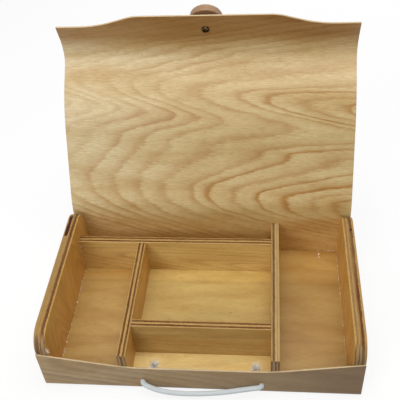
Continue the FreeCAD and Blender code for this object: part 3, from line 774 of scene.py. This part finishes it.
def sunflower_disc(middle, direction, radius, count):
    """Evenly spread points on a disc across a direction."""
    side = direction.orthogonal().normalized()
    other = direction.cross(side).normalized()
    golden = math.pi * (3 - math.sqrt(5))
    points = []
    for index in range(count):
        reach = radius * math.sqrt((index + 0.5) / count)
        turn = golden * index
        points.append(middle + side * reach * math.cos(turn) + other * reach * math.sin(turn))
    return points


def eased_ramp(distance, ease):
    """0 before 0 and the distance itself after it, with a parabola of half width ease between the two."""
    if abs(distance) < ease:
        return (distance + ease) ** 2 / (4 * ease)
    return max(distance, 0)


def rounded_line(corners, reaches, step):
    """Rows along a line in the YZ plane, each a point and a direction, with its inner corners rounded.

    reaches gives, for each inner corner, how far before and after it its parabola starts and ends.
    """
    stretches = []
    start = corners[0]
    for before, corner, after, (back, ahead) in zip(corners, corners[1:], corners[2:], reaches):
        curve_start = corner + (before - corner).normalized() * back
        curve_end = corner + (after - corner).normalized() * ahead
        stretches.append((start, start.lerp(curve_start, 0.5), curve_start))
        stretches.append((curve_start, corner, curve_end))
        start = curve_end
    stretches.append((start, start.lerp(corners[-1], 0.5), corners[-1]))
    rows = []
    for first, middle, last in stretches:
        count = max(2, round(((middle - first).length + (last - middle).length) / step))
        for index in range(count):
            t = index / count
            point = first * (1 - t) ** 2 + middle * 2 * t * (1 - t) + last * t ** 2
            direction = (middle - first) * (1 - t) + (last - middle) * t
            rows.append((point, direction.normalized()))
    rows.append((corners[-1], (corners[-1] - corners[-2]).normalized()))
    return rows


def rounded_rows(radius):
    """Distance from a sanded edge, and depth under the face, of a few points round it."""
    turns = [math.pi / 2 * index / EDGE_STEPS for index in range(EDGE_STEPS + 1)]
    return [(radius * (1 - math.sin(turn)), radius * (1 - math.cos(turn))) for turn in turns]


def sheet_faces(count, wide):
    """Faces of a sheet of so many rows and columns of point pairs, each with the place of its material."""
    def at(row, column, side):
        return (row * wide + column) * 2 + side

    faces = []
    for side, finish, way in ((0, FACE, -1), (1, OUTSIDE, 1)):
        for row in range(count - 1):
            for column in range(wide - 1):
                corners = [(row, column), (row + 1, column), (row + 1, column + 1), (row, column + 1)]
                faces.append(([at(*corner, side) for corner in corners][::way], finish))
    for column, way in ((0, 1), (wide - 1, -1)):
        for row in range(count - 1):
            face = [at(row, column, 0), at(row + 1, column, 0), at(row + 1, column, 1), at(row, column, 1)]
            faces.append((face[::way], EDGE))
    for row, way in ((0, -1), (count - 1, 1)):
        for column in range(wide - 1):
            face = [at(row, column, 0), at(row, column + 1, 0), at(row, column + 1, 1), at(row, column, 1)]
            faces.append((face[::way], EDGE))
    return faces


class SheetPiece:
    """One piece of the bent sheet, swept along a line. A free end is sanded and may follow a wavy edge."""

    def __init__(self, settings, corners, reaches, distance, columns):
        self.settings = settings
        self.corners = corners
        line = rounded_line(corners, reaches, settings.row_step)
        self.rows = [(point, direction, 0.0) for point, direction in line]
        self.distance = distance
        self.columns = columns
        self.trims = [None, None]

    def free_end(self, end, trim):
        """Make the line's first or last end free. trim(x) is how much shorter the sheet is there."""
        rounding = rounded_rows(self.settings.edge_round)
        if end == 0:
            point, direction, _ = self.rows[0]
            self.rows[:1] = [
                (point + direction * back, direction, depth) for back, depth in reversed(rounding)]
        else:
            point, direction, _ = self.rows[-1]
            self.rows[-1:] = [(point - direction * back, direction, depth) for back, depth in rounding]
        self.trims[end] = trim

    def run(self):
        """Length of the piece along the sheet."""
        points = [point for point, _, _ in self.rows]
        return sum((after - before).length for before, after in zip(points, points[1:]))

    def shift(self, point, x):
        """How far a row's point moves along the sheet at x, so that the sheet ends at its wavy edge."""
        moved = 0.0
        ends = ((self.corners[0], self.corners[1], 1), (self.corners[-1], self.corners[-2], -1))
        for trim, (edge, inner, way) in zip(self.trims, ends):
            if trim is None:
                continue
            stretch = (inner - edge).length * STRETCHED_SHARE
            from_edge = (point - edge).length
            if from_edge < stretch:
                moved += way * trim(x) * (1 - from_edge / stretch)
        return moved

    def across(self):
        """Places across the width, each with its depth under the face: round at both sides, level between."""
        radius = self.settings.edge_round
        half = WRAP_HIGH.x
        sides = rounded_rows(radius) + [(3 * radius, 0)]
        columns = [(x, 0) for x in np.linspace(-half + SIDE_MARGIN, half - SIDE_MARGIN, self.columns)]
        for back, depth in sides:
            columns += [(-half + back, depth), (half - back, depth)]
        return sorted(columns)

    def build(self, name, materials):
        thickness = self.settings.thickness
        columns = self.across()
        vertices, face_map, edge_map = [], [], []
        distance, last = self.distance, self.rows[0][0]
        for point, direction, row_depth in self.rows:
            distance += (point - last).length
            last = point
            outward = Vector((direction.y, -direction.x))
            for x, column_depth in columns:
                moved = self.shift(point, x)
                depth = max(row_depth, column_depth)
                for side, level in enumerate((depth, thickness - depth)):
                    place = point + direction * moved + outward * level
                    vertices.append((x, place.x, place.y))
                    face_map.append((x, distance + moved))
                    edge_map.append((x + distance, side))
        faces, finishes = zip(*sheet_faces(len(self.rows), len(columns)))
        mesh = bpy.data.meshes.new(name)
        mesh.from_pydata(vertices, [], faces)
        mesh.polygons.foreach_set("material_index", finishes)
        mesh.polygons.foreach_set("use_smooth", [True] * len(faces))
        grain = mesh.uv_layers.new(name=GRAIN_MAP)
        for polygon in mesh.polygons:
            source = edge_map if polygon.material_index == EDGE else face_map
            for loop in polygon.loop_indices:
                grain.data[loop].uv = source[mesh.loops[loop].vertex_index]
        mesh.set_sharp_from_angle(angle=SHEET_SHARP)
        return link_piece(name, mesh, materials)


def on_plane(y_and_z):
    """A point of the sheet's line, in the middle of the box's width."""
    return Vector((0, y_and_z.x, y_and_z.y))


def further(start, run, lean):
    """The point a run further along a sheet that leans behind the vertical."""
    return start + Vector((math.sin(lean), math.cos(lean))) * run


def dip_trim(s, x):
    """How far the front wall's edge at x lies below its ends."""
    slope = (s.front_height - s.dip_height) / (WRAP_HIGH.x - s.dip_width / 2)
    rise = slope * eased_ramp(abs(x) - s.dip_width / 2, s.dip_ease)
    return s.front_height - s.dip_height - rise


def tab_trim(s, x):
    """How far the flap's edge at x lies behind the tab's."""
    beyond = abs(x) - s.tab_width / 2
    slope = s.tab_drop / s.tab_slope
    return slope * (eased_ramp(beyond, s.tip_ease) - eased_ramp(beyond - s.tab_slope, s.tab_ease))


def cut_holes(piece, diameter, centres):
    """Drill round holes along Y."""
    shape = bmesh.new()
    for centre in centres:
        turned = Matrix.Translation(centre) @ Matrix.Rotation(math.pi / 2, 4, "X")
        bmesh.ops.create_cone(
            shape, cap_ends=True, segments=DRILL_SIDES, radius1=diameter / 2, radius2=diameter / 2,
            depth=DRILL_DEPTH, matrix=turned)
    drill = link_piece("drill", free_to_mesh(shape, "drill"), [])
    cut = piece.modifiers.new("holes", "BOOLEAN")
    cut.object = drill
    cut.solver = "EXACT"
    apply_modifiers(piece)
    bpy.data.objects.remove(drill)


class ARTBOX_OT_sheet(bpy.types.Operator):
    """Wrap, lid and flap, one bent sheet of birch in pieces that are curved across the fold lines"""

    bl_idname = "artbox.sheet"
    bl_label = "Bent sheet"

    def execute(self, context):
        s = context.scene.artbox_sheet
        materials = self.materials(s)
        inside = s.thickness
        front, back = WRAP_LOW.y + inside, WRAP_HIGH.y - inside
        hinge, roll, flex, fold = (FOLD[name] for name in ("lid_hinge", "lid_roll", "lid_flex", "flap_fold"))
        wall_end = hinge - Vector((0, s.wall_gap))
        corner_middle = hinge.lerp(roll, 0.5)
        rear_end = flex + (roll - flex).normalized() * s.rear_run
        lip = further(flex, s.front_length, s.front_lean)
        lip_middle = lip.lerp(fold, 0.5)
        tip = further(fold, s.flap_length + s.tab_drop, -s.flap_lean)

        wall_corners = [
            Vector((front, s.front_height)), Vector((front, inside)), Vector((back, inside)), wall_end]
        wrap = SheetPiece(s, wall_corners, [(s.bottom_bend, s.bottom_bend)] * 2, 0, WAVY_COLUMNS)
        wrap.free_end(0, partial(dip_trim, s))
        wrap_sheet = wrap.build("wrap_sheet", materials)
        holes = [Vector((x * MM, WRAP_LOW.y, s.hole_height)) for x in CORD_HOLES_MM.values()]
        cut_holes(wrap_sheet, s.hole_diameter, holes)
        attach(wrap_sheet, "case")
        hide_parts("wrap")

        # Name, corners and reaches of their curves, the two bodies and where each holds wholly, and nodes
        bends = [
            ("lid_corner_sheet", [wall_end, hinge, corner_middle], [(s.corner_bend, s.corner_bend)],
             ("case", wall_end), ("back_bend", corner_middle), ["back_bend"]),
            ("lid_rear_sheet", [corner_middle, roll, rear_end], [(s.corner_bend, s.rear_bend)],
             ("back_bend", corner_middle), ("lid_rear", further(roll, s.fold_run, s.rear_lean)),
             ["lid_rear_panel"]),
            ("lid_front_sheet", [rear_end, flex, lip, lip_middle],
             [(s.lid_bend, s.lid_bend), (s.lip_bend, s.fold_bend)],
             ("lid_rear", rear_end), ("lid_front", further(flex, s.lid_run, s.front_lean)),
             ["lid_front_panel", "front_bend"]),
            ("flap_sheet", [lip_middle, fold, tip], [(s.fold_bend, s.flap_bend)],
             ("lid_front", lip_middle), ("flap", further(fold, s.fold_run, -s.flap_lean)), ["front_flap"]),
        ]
        distance = wrap.run()
        for name, corners, reaches, (first, start), (second, end), nodes in bends:
            is_flap = name == "flap_sheet"
            piece = SheetPiece(s, corners, reaches, distance, WAVY_COLUMNS if is_flap else PLAIN_COLUMNS)
            if is_flap:
                piece.free_end(1, partial(tab_trim, s))
            distance += piece.run()
            sheet = piece.build(name, materials)
            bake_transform(sheet)
            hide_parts(*nodes)
        return {"FINISHED"}

    def materials(self, s):
        """The sheet's inside, its edges and its outside."""
        inside = veneer(
            "varnished_birch_veneer", s.pale, s.brown, SHEET_FLAMES_MM, ring_width=29 * MM, contrast=1.05,
            faint=-262 * MM, roughness=0.42, tones=INSIDE_TONES_MM, sides=INSIDE_SHEEN_SIDES)
        # The outside is a darker, greyer copy of the inside veneer, partly painted shade
        outside = veneer(
            "greyed_and_shaded_birch_veneer", s.shaded_outer_pale, s.shaded_outer_brown, SHEET_FLAMES_MM, ring_width=29 * MM,
            contrast=0.55, faint=-245 * MM, roughness=0.45, tones=EVEN_TONES_MM, sides=OUTSIDE_LIGHT_AND_WOOD_SIDES)
        edges = ply_edge("birch_sheet_edge", SHEET_PLIES, s.edge_pale, s.edge_brown, NO_VOID_MM)
        return [inside, edges, outside]


def rounded_rectangle(low, high, radii):
    """Corners of a rectangle in a plane, rounded, from the low one round by the second axis."""
    places = [(low.x, low.y, 1, 1), (low.x, high.y, 1, -1), (high.x, high.y, -1, -1), (high.x, low.y, -1, 1)]
    points = []
    for index, ((x, y, side, up), radius) in enumerate(zip(places, radii)):
        if not radius:
            points.append(Vector((x, y)))
            continue
        middle = Vector((x + side * radius, y + up * radius))
        start = math.pi * 1.5 - index * math.pi / 2
        for step in range(CORNER_STEPS + 1):
            turn = start - step * math.pi / 2 / CORNER_STEPS
            points.append(middle + Vector((math.cos(turn), math.sin(turn))) * radius)
    return points


def sanded_block(low, high, sweep, radii, bevel):
    """A block with rounded corners, swept along one axis, as a mesh with all its edges sanded."""
    first, second = [axis for axis in (X, Y, Z) if axis != sweep]
    corners = rounded_rectangle(
        Vector((low[first], low[second])), Vector((high[first], high[second])), radii)
    shape = bmesh.new()
    rings = []
    for level in (low[sweep], high[sweep]):
        ring = []
        for corner in corners:
            place = Vector((0, 0, 0))
            place[first], place[second], place[sweep] = corner.x, corner.y, level
            ring.append(shape.verts.new(place))
        rings.append(ring)
    shape.faces.new(rings[0])
    shape.faces.new(rings[1])
    for index in range(len(corners)):
        after = (index + 1) % len(corners)
        shape.faces.new((rings[0][index], rings[0][after], rings[1][after], rings[1][index]))
    bmesh.ops.recalc_face_normals(shape, faces=shape.faces)
    sharp = [edge for edge in shape.edges if edge.calc_face_angle() > BOARD_SHARP]
    bmesh.ops.bevel(shape, geom=sharp, offset=bevel, segments=EDGE_STEPS, profile=0.5, affect="EDGES")
    return shape


def floor_bay(place):
    """The floor's material at a place: one for each kind of bay between the dividers."""
    is_left = place.x < WALL_MIDDLES["left_divider"].x and place.y < WALL_MIDDLES["back_divider"].y
    if is_left or place.x > WALL_MIDDLES["right_divider"].x:
        return SIDE_BAY
    return FRONT_BAY if place.y < WALL_MIDDLES["cross_divider"].y else MIDDLE_BAY


class ARTBOX_OT_boards(bpy.types.Operator):
    """End panels, floor and dividers, sanded plywood boards"""

    bl_idname = "artbox.boards"
    bl_label = "Boards"

    def execute(self, context):
        s = context.scene.artbox_boards
        left_edge, right_edge = (
            ply_edge(f"birch_ply_edge_{side}", END_PLIES[side], s.edge_pale, s.edge_brown, void)
            for side, void in END_VOIDS_MM.items())
        thin = ply_edge("birch_ply_edge_9mm", DIVIDER_PLIES, s.edge_pale, s.edge_brown, NO_VOID_MM)
        worn = ply_edge("worn_ply_edge_9mm", WORN_PLIES, s.worn_pale, s.worn_brown, NO_VOID_MM)
        # The back and cross dividers get lit and shaded copies of the face veneer: painted light and painted
        # shade
        face, lit_back_face, shaded_cross_face = (
            veneer(f"varnished_{board}_face", pale, s.brown, BOARD_FLAMES_MM, ring_width=30 * MM,
                   contrast=0.33, faint=-300 * MM, roughness=0.4, tones=EVEN_TONES_MM, sides=EVEN_SIDES)
            for board, pale in (("ply", s.pale), ("back", s.lit_back_pale), ("cross", s.shaded_cross_pale)))
        # Each kind of bay gets its own copy of the floor veneer, paler or darker as painted light and shade
        middle_floor, shaded_side_floor, lit_front_floor = (
            veneer(f"varnished_{bay}_floor", pale, s.brown, BOARD_FLAMES_MM, ring_width=80 * MM,
                   contrast=0.3, faint=-300 * MM, roughness=0.38, tones=FLOOR_TONES_MM, sides=FLOOR_LIGHT_SIDES)
            for bay, pale in (("middle", s.middle_floor), ("side", s.shaded_side_floor), ("front", s.lit_front_floor)))
        top, low = s.top_corner, s.low_corner
        square = (0, 0, 0, 0)
        # Node, axis it is swept along, axis across its faces, axis of its grain, corner radii, materials
        boards = [
            ("left_end_panel", X, X, Z, (low, top, top, low), (face, left_edge)),
            ("right_end_panel", X, X, Z, (low, top, top, low), (face, right_edge)),
            ("floor_board", X, Z, X, (low, 0, 0, low), (middle_floor, thin, shaded_side_floor, lit_front_floor)),
            ("back_divider", Y, Y, X, square, (lit_back_face, thin)),
            ("right_divider", X, X, Y, square, (face, worn)),
            ("left_divider", X, X, Y, square, (face, thin)),
            ("cross_divider", Y, Y, X, square, (shaded_cross_face, thin)),
        ]
        for number, (node, sweep, broad, along, radii, materials) in enumerate(boards):
            low_end, high_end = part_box(node)
            shape = sanded_block(low_end, high_end, sweep, radii, s.bevel)
            self.finish_faces(shape, node, broad, along, VENEER_STEP * number)
            name = f"{node}_board"
            board = link_piece(name, free_to_mesh(shape, name), materials)
            board.modifiers.new("weighted normals", "WEIGHTED_NORMAL").weight = FACE_WEIGHT
            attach(board, "case")
            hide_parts(node)
        return {"FINISHED"}

    def finish_faces(self, shape, node, broad, along, offset):
        """Give each face of a board its material and its place in the grain."""
        low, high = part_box(node)
        is_floor = node == "floor_board"
        if is_floor:
            for wall, direction in FLOOR_WALLS.items():
                every = shape.verts[:] + shape.edges[:] + shape.faces[:]
                bmesh.ops.bisect_plane(shape, geom=every, plane_co=WALL_MIDDLES[wall], plane_no=direction)
        grain = shape.loops.layers.uv.new(GRAIN_MAP)
        across = next(axis for axis in (X, Y, Z) if axis not in (broad, along))
        edge_axis = Y if broad == X else X
        # The floor's map starts in the middle of its width, and the other boards' at places of their own
        start = Vector((0, low[across]))
        if not is_floor:
            start = Vector((low[along] - offset, low[across] - offset))
        for face in shape.faces:
            is_broad = abs(face.normal[broad]) > 0.5
            face.material_index = FACE if is_broad else EDGE
            if is_broad and is_floor:
                face.material_index = floor_bay(face.calc_center_median())
            face.smooth = True
            for loop in face.loops:
                place = loop.vert.co
                if is_broad:
                    loop[grain].uv = Vector((place[along], place[across])) - start
                else:
                    share = (place[broad] - low[broad]) / (high[broad] - low[broad])
                    if high[broad] < 0:
                        share = 1 - share
                    run = place[edge_axis]
                    loop[grain].uv = (run + math.copysign(high.z - place.z, run), share)


def lathe(name, profile, material):
    """A piece turned about its own Z axis, from a profile of radii and heights that starts and ends on it."""
    shape = bmesh.new()
    points = [shape.verts.new((radius, 0, height)) for radius, height in profile]
    edges = [shape.edges.new(pair) for pair in zip(points, points[1:])]
    bmesh.ops.spin(
        shape, geom=points + edges, axis=(0, 0, 1), cent=(0, 0, 0), steps=KNOB_SIDES, angle=2 * math.pi,
        use_merge=True)
    bmesh.ops.remove_doubles(shape, verts=shape.verts, dist=0.001 * MM)
    bmesh.ops.recalc_face_normals(shape, faces=shape.faces)
    for face in shape.faces:
        face.smooth = True
    mesh = free_to_mesh(shape, name)
    mesh.set_sharp_from_angle(angle=KNOB_SHARP)
    return link_piece(name, mesh, [material])


def arc(middle, radius, start, end, steps):
    """Points of a profile along an arc, from one angle to another in degrees."""
    turns = np.radians(np.linspace(start, end, steps))
    return [(middle[0] + radius * math.cos(turn), middle[1] + radius * math.sin(turn)) for turn in turns]


class ARTBOX_OT_knob(bpy.types.Operator):
    """Turned knob on the flap, and its screw"""

    bl_idname = "artbox.knob"
    bl_label = "Knob and screw"

    def execute(self, context):
        s = context.scene.artbox_knob
        sheet = context.scene.artbox_sheet
        neck, radius = s.neck / 2, s.diameter / 2
        top = s.neck_length + s.disc
        profile = [(0, 0), (neck + s.foot, 0), (neck, 2 * s.foot)]
        profile += arc((neck + s.fillet, s.neck_length - s.fillet), s.fillet, 180, 90, steps=7)
        profile += arc((radius - s.lower_rim, s.neck_length + s.lower_rim), s.lower_rim, -90, 0, steps=7)
        profile += arc((radius - s.rim, top - s.rim), s.rim, 0, 90, steps=9)
        profile += [(radius / 2, top + 0.75 * s.crown), (0, top + s.crown)]
        knob = lathe("turned_knob", profile, turned_beech(s.pale, s.brown))
        axis = further(FOLD["flap_fold"], sheet.flap_length + sheet.tab_drop - s.inset, -sheet.flap_lean)
        outward = Vector((math.cos(sheet.flap_lean), math.sin(sheet.flap_lean)))
        foot = on_plane(axis + outward * sheet.thickness)
        turned = Matrix.Rotation(sheet.flap_lean - math.pi / 2, 4, "X")
        knob.data.transform(Matrix.Translation(foot) @ turned)
        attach(knob, "flap")
        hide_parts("knob")
        screw = frame["nodes"]["knob_screw"]
        screw.data.materials.clear()
        screw.data.materials.append(bronzed_steel())
        return {"FINISHED"}


def spline_points(route, resolution):
    """Points along the smooth NURBS line that has the route as its control points."""
    curve = bpy.data.curves.new("cord_route", "CURVE")
    curve.dimensions = "3D"
    curve.resolution_u = resolution
    spline = curve.splines.new("NURBS")
    spline.points.add(len(route) - 1)
    for point, place in zip(spline.points, route):
        point.co = (*place, 1)
    spline.order_u = 3
    spline.use_endpoint_u = True
    line = bpy.data.objects.new("cord_route", curve)
    bpy.context.scene.collection.objects.link(line)
    mesh = evaluated_mesh(line)
    points = [vertex.co.copy() for vertex in mesh.vertices]
    bpy.data.objects.remove(line)
    bpy.data.meshes.remove(mesh)
    return points


def path_frames(points, step):
    """Even steps along a path: distances, places, and two directions across it that don't twist."""
    points = np.array(points)
    runs = np.linalg.norm(np.diff(points, axis=0), axis=1)
    reached = np.concatenate([[0], np.cumsum(runs)])
    distances = np.linspace(0, reached[-1], max(2, round(reached[-1] / step)))
    places = np.stack([np.interp(distances, reached, points[:, axis]) for axis in (X, Y, Z)], axis=1)
    tangents = np.gradient(places, axis=0)
    tangents /= np.linalg.norm(tangents, axis=1)[:, None]
    side = np.cross(tangents[0], (0.0, 0.0, 1.0))
    sides = []
    for tangent in tangents:
        side = side - tangent * (side @ tangent)
        side = side / np.linalg.norm(side)
        sides.append(side)
    sides = np.array(sides)
    return distances, places, sides, np.cross(tangents, sides)


def tube_faces(count, ring, start):
    """Quads of a tube of rings, with a cap at each end."""
    faces = []
    for row in range(count - 1):
        for column in range(ring):
            after = (column + 1) % ring
            below, above = start + row * ring, start + (row + 1) * ring
            faces.append([below + column, below + after, above + after, above + column])
    faces.append([start + column for column in range(ring)][::-1])
    faces.append([start + (count - 1) * ring + column for column in range(ring)])
    return faces


def braid(name, points, s, material):
    """A braided cord along a path: strands that wind both ways over and under each other, round a core."""
    steps_per_crossing = 8
    distances, places, sides, ups = path_frames(points, s.pitch / (steps_per_crossing * s.carriers))
    half_thick, half_wide = 0.1 * s.diameter, 0.145 * s.diameter
    weave = 0.045 * s.diameter
    middle = s.diameter / 2 - half_thick - weave
    vertices, faces = [], []

    def outwards(turn):
        return sides * np.cos(turn) + ups * np.sin(turn)

    def add_tube(rings):
        faces.extend(tube_faces(len(rings), rings.shape[1], len(vertices)))
        vertices.extend(rings.reshape(-1, 3))

    crossing = 2 * math.pi * distances * s.carriers / s.pitch
    strand_turns = np.arange(STRAND_SIDES) * 2 * math.pi / STRAND_SIDES
    for way in (1, -1):
        for carrier in range(s.carriers):
            turn = 2 * math.pi * (carrier / s.carriers + way * distances / s.pitch)
            outward = outwards(turn[:, None])
            centre = places + outward * (middle + way * weave * np.cos(crossing))[:, None]
            across = np.cross(np.gradient(centre, axis=0), outward)
            across /= np.linalg.norm(across, axis=1)[:, None]
            add_tube(np.stack([
                centre + outward * half_thick * math.cos(t) + across * half_wide * math.sin(t)
                for t in strand_turns], axis=1))
    core_turns = np.arange(CORE_SIDES) * 2 * math.pi / CORE_SIDES
    core = middle - 0.3 * half_thick
    add_tube(np.stack([places + outwards(t) * core for t in core_turns], axis=1))
    mesh = bpy.data.meshes.new(name)
    mesh.from_pydata([tuple(vertex) for vertex in vertices], [], faces)
    mesh.polygons.foreach_set("use_smooth", [polygon.loop_total == 4 for polygon in mesh.polygons])
    return link_piece(name, mesh, [material])


class ARTBOX_OT_cord(bpy.types.Operator):
    """Braided cord handle, with a knot behind each hole"""

    bl_idname = "artbox.cord"
    bl_label = "Cord handle"

    def execute(self, context):
        s = context.scene.artbox_cord
        height = context.scene.artbox_sheet.hole_height
        cotton = cotton_yarn("braided_cotton", s.white)
        # The knots and frayed ends get the whiter cotton, painted light against the front wall's shadow
        clean = cotton_yarn("frayed_cotton", s.clean)
        wall = WRAP_LOW.y
        left, right = (Vector((x * MM, wall, height)) for x in CORD_HOLES_MM.values())
        route = [Vector((x * MM, wall - out * MM, z * MM)) for x, out, z in CORD_ROUTE_MM]
        straight = Vector((0, -CORD_STRAIGHT_MM * MM, 0))
        points = spline_points([left, left + straight, *route, right + straight, right], resolution=24)
        loop = braid("cord_loop", points, s, cotton)
        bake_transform(loop)
        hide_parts("handle_rope")
        knots = self.knot(s, "left", left, clean, inwards=1, seed=3)
        knots += self.knot(s, "right", right, clean, inwards=-1, seed=8)
        return {"FINISHED"}

    def knot(self, s, side, hole, cotton, inwards, seed):
        """The cord goes through the wall and winds round itself, and its frayed end points up and back."""
        mirrored = Vector((inwards, 1, 1)) * MM
        middle = hole + mirrored * Vector(KNOT_MIDDLE_MM)
        places = [hole + Vector((0, deep * MM, 0)) for deep in KNOT_STRAIGHT_MM]
        for step in range(KNOT_STEPS):
            turn = math.radians(KNOT_START_DEGREES + KNOT_STEP_DEGREES * step)
            deep = KNOT_DEPTH_MM - KNOT_STEP_MM * step
            wound = Vector((math.cos(turn) * KNOT_RADIUS_MM, deep, math.sin(turn) * KNOT_RADIUS_MM))
            places.append(middle + mirrored * wound)
        tail = mirrored * Vector(TAIL_MM[side])
        places += [middle + tail * share for share in TAIL_SHARES]
        points = spline_points(places, resolution=12)
        knot = braid(f"{side}_cord_knot", points, s, cotton)
        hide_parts(f"{side}_rope_knot")
        tip, direction = points[-1], (points[-1] - points[-4]).normalized()
        tree, keys = fibre_tree("frayed_cotton", cotton)
        roots = sunflower_disc(tip - direction * MM, direction, radius=0.42 * s.diameter, count=s.fibres)
        frayed = grow(f"{side}_frayed_end", roots, [], tree, keys, {
            "Length": s.fibre_length, "Thickness": 0.15 * MM, "Direction": (0.45, 0.35, 0.8), "Spread": 0.9,
            "Seed": seed})
        for piece in (knot, frayed):
            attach(piece, "case")
        return [knot, frayed]


class ARTBOX_OT_glue(bpy.types.Operator):
    """Dried glue along the joints of the floor, and splinters at a chipped corner"""

    bl_idname = "artbox.glue"
    bl_label = "Glue and splinters"

    def execute(self, context):
        s = context.scene.artbox_glue
        floor_low, floor_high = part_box("floor_board")
        cross_low, cross_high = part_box("cross_divider")
        bay_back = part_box("back_divider")[0].y
        panel_low, panel_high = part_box("left_end_panel")
        left, right = panel_high.x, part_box("right_end_panel")[0].x
        level, top = floor_high.z + s.lift, cross_high.z
        front, back = floor_low.y, floor_high.y
        patch = right - s.patch_width
        runs = [
            ((left, front, level), (left, bay_back, level)),
            ((right, front, level), (right, back, level)),
            ((patch, back, level), (right, back, level)),
            ((patch, back, level), (patch, back - s.patch_depth, level)),
            ((cross_low.x, cross_low.y, top), (cross_low.x, cross_high.y, top)),
            ((left, bay_back, level), (left, bay_back, top)),
        ]
        points = [end for run in runs for end in run]
        edges = [(2 * index, 2 * index + 1) for index in range(len(runs))]
        tree, keys = bead_tree(dried_glue())
        glue = grow("dried_glue_lines", points, edges, tree, keys, {
            "Spacing": s.spacing, "Size": s.size, "Scatter": s.scatter, "Share": s.share, "Seed": 5})
        tree, keys = fibre_tree("torn_wood", torn_birch())
        roots = [
            (left, panel_low.y + s.chip_inset, s.chip_height + s.splinter_step * index)
            for index in range(s.splinters)]
        splinters = grow("splinters", roots, [], tree, keys, {
            "Length": s.splinter_length, "Thickness": 0.22 * MM, "Direction": (0.5, -0.1, -0.7),
            "Spread": 0.8, "Seed": 2})
        for piece in (glue, splinters):
            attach(piece, "case")
        return {"FINISHED"}


def white_for_camera(add, plain, white):
    """Show one shader to the camera and in reflections, and another to the light."""
    path = add("ShaderNodeLightPath")
    seen = path.outputs["Is Camera Ray"]
    for ray in ("Is Glossy Ray", "Is Transmission Ray"):
        seen = add("ShaderNodeMath", {0: seen, 1: path.outputs[ray]}, operation="MAXIMUM")
    return add("ShaderNodeMixShader", {0: seen, 1: plain, 2: white})


class ARTBOX_OT_stage(bpy.types.Operator):
    """White floor, soft lamps and the camera"""

    bl_idname = "artbox.stage"
    bl_label = "Stage"

    def execute(self, context):
        s = context.scene.artbox_stage
        scene = context.scene
        scene.view_settings.view_transform = "Standard"
        self.sky(scene, s)
        self.floor()
        self.lamp("key_lamp", place=(0.08, -0.02, 1.3), size=1.0, power=s.key)
        self.lamp("window_lamp", place=(-0.52, -1.02, 0.8), size=0.6, power=s.window)
        self.lamp("back_lamp", place=(0.35, 1.2, 0.75), size=0.8, power=s.back)
        data = bpy.data.cameras.new("camera")
        data.lens = s.lens
        data.clip_start, data.clip_end = 0.01, 50
        camera = bpy.data.objects.new("camera", data)
        scene.collection.objects.link(camera)
        turned = Matrix.Rotation(s.yaw, 4, "Z") @ Matrix.Rotation(math.pi / 2 - s.pitch, 4, "X")
        camera.matrix_world = Matrix.Translation(s.camera_at) @ turned @ Matrix.Rotation(s.roll, 4, "Z")
        scene.camera = camera
        return {"FINISHED"}

    def sky(self, scene, s):
        """Even light from all round, which the camera sees as plain white."""
        world = scene.world or bpy.data.worlds.new("studio")
        scene.world = world
        world.use_nodes = True
        world.node_tree.nodes.clear()
        add = partial(add_node, world.node_tree)
        light, white = (
            add("ShaderNodeBackground", {"Color": grey(1), "Strength": strength})
            for strength in (s.sky, 1.0))
        add("ShaderNodeOutputWorld", {"Surface": white_for_camera(add, light, white)})

    def floor(self):
        """Matt paper. The camera sees it nearly plain white with faint shadows, and it throws back little."""
        material, add = new_material("white_paper")
        paper, bright = (add("ShaderNodeBsdfDiffuse", {"Color": grey(level)}) for level in (0.3, 0.95))
        glow = add("ShaderNodeEmission", {"Color": grey(1), "Strength": 1.0})
        pale = add("ShaderNodeMixShader", {0: 0.85, 1: bright, 2: glow})
        add("ShaderNodeOutputMaterial", {"Surface": white_for_camera(add, paper, pale)})
        shape = bmesh.new()
        bmesh.ops.create_grid(shape, x_segments=1, y_segments=1, size=FLOOR_HALF)
        link_piece("floor", free_to_mesh(shape, "floor"), [material])

    def lamp(self, name, place, size, power):
        data = bpy.data.lights.new(name, "AREA")
        data.size = size
        data.energy = power
        lamp = bpy.data.objects.new(name, data)
        lamp.location = place
        lamp.rotation_euler = (LAMPS_AIM_AT - Vector(place)).to_track_quat("-Z", "Y").to_euler()
        bpy.context.scene.collection.objects.link(lamp)


OPERATORS = [
    ARTBOX_OT_sheet, ARTBOX_OT_boards, ARTBOX_OT_glue, ARTBOX_OT_knob, ARTBOX_OT_cord, ARTBOX_OT_stage,
]


class ARTBOX_PT_panel(bpy.types.Panel):
    """Lists the pieces of the box and their settings"""

    bl_label = "Art supply box"
    bl_space_type = "VIEW_3D"
    bl_region_type = "UI"
    bl_category = "Art box"

    def draw(self, context):
        for operator in OPERATORS:
            self.layout.operator(operator.bl_idname)
        for group, settings in GROUPS.items():
            column = self.layout.column()
            for name in settings.__annotations__:
                column.prop(getattr(context.scene, group), name)


def register():
    for group, settings in GROUPS.items():
        bpy.utils.register_class(settings)
        setattr(bpy.types.Scene, group, PointerProperty(type=settings))
    for made in (*OPERATORS, ARTBOX_PT_panel):
        bpy.utils.register_class(made)


def unregister():
    for made in (ARTBOX_PT_panel, *reversed(OPERATORS)):
        bpy.utils.unregister_class(made)
    for group, settings in GROUPS.items():
        delattr(bpy.types.Scene, group)
        bpy.utils.unregister_class(settings)


def main():
    register()
    bpy.ops.artbox.sheet()
    bpy.ops.artbox.boards()
    bpy.ops.artbox.glue()
    bpy.ops.artbox.knob()
    bpy.ops.artbox.cord()
    bpy.ops.artbox.stage()


if __name__ == "__main__":
    main()
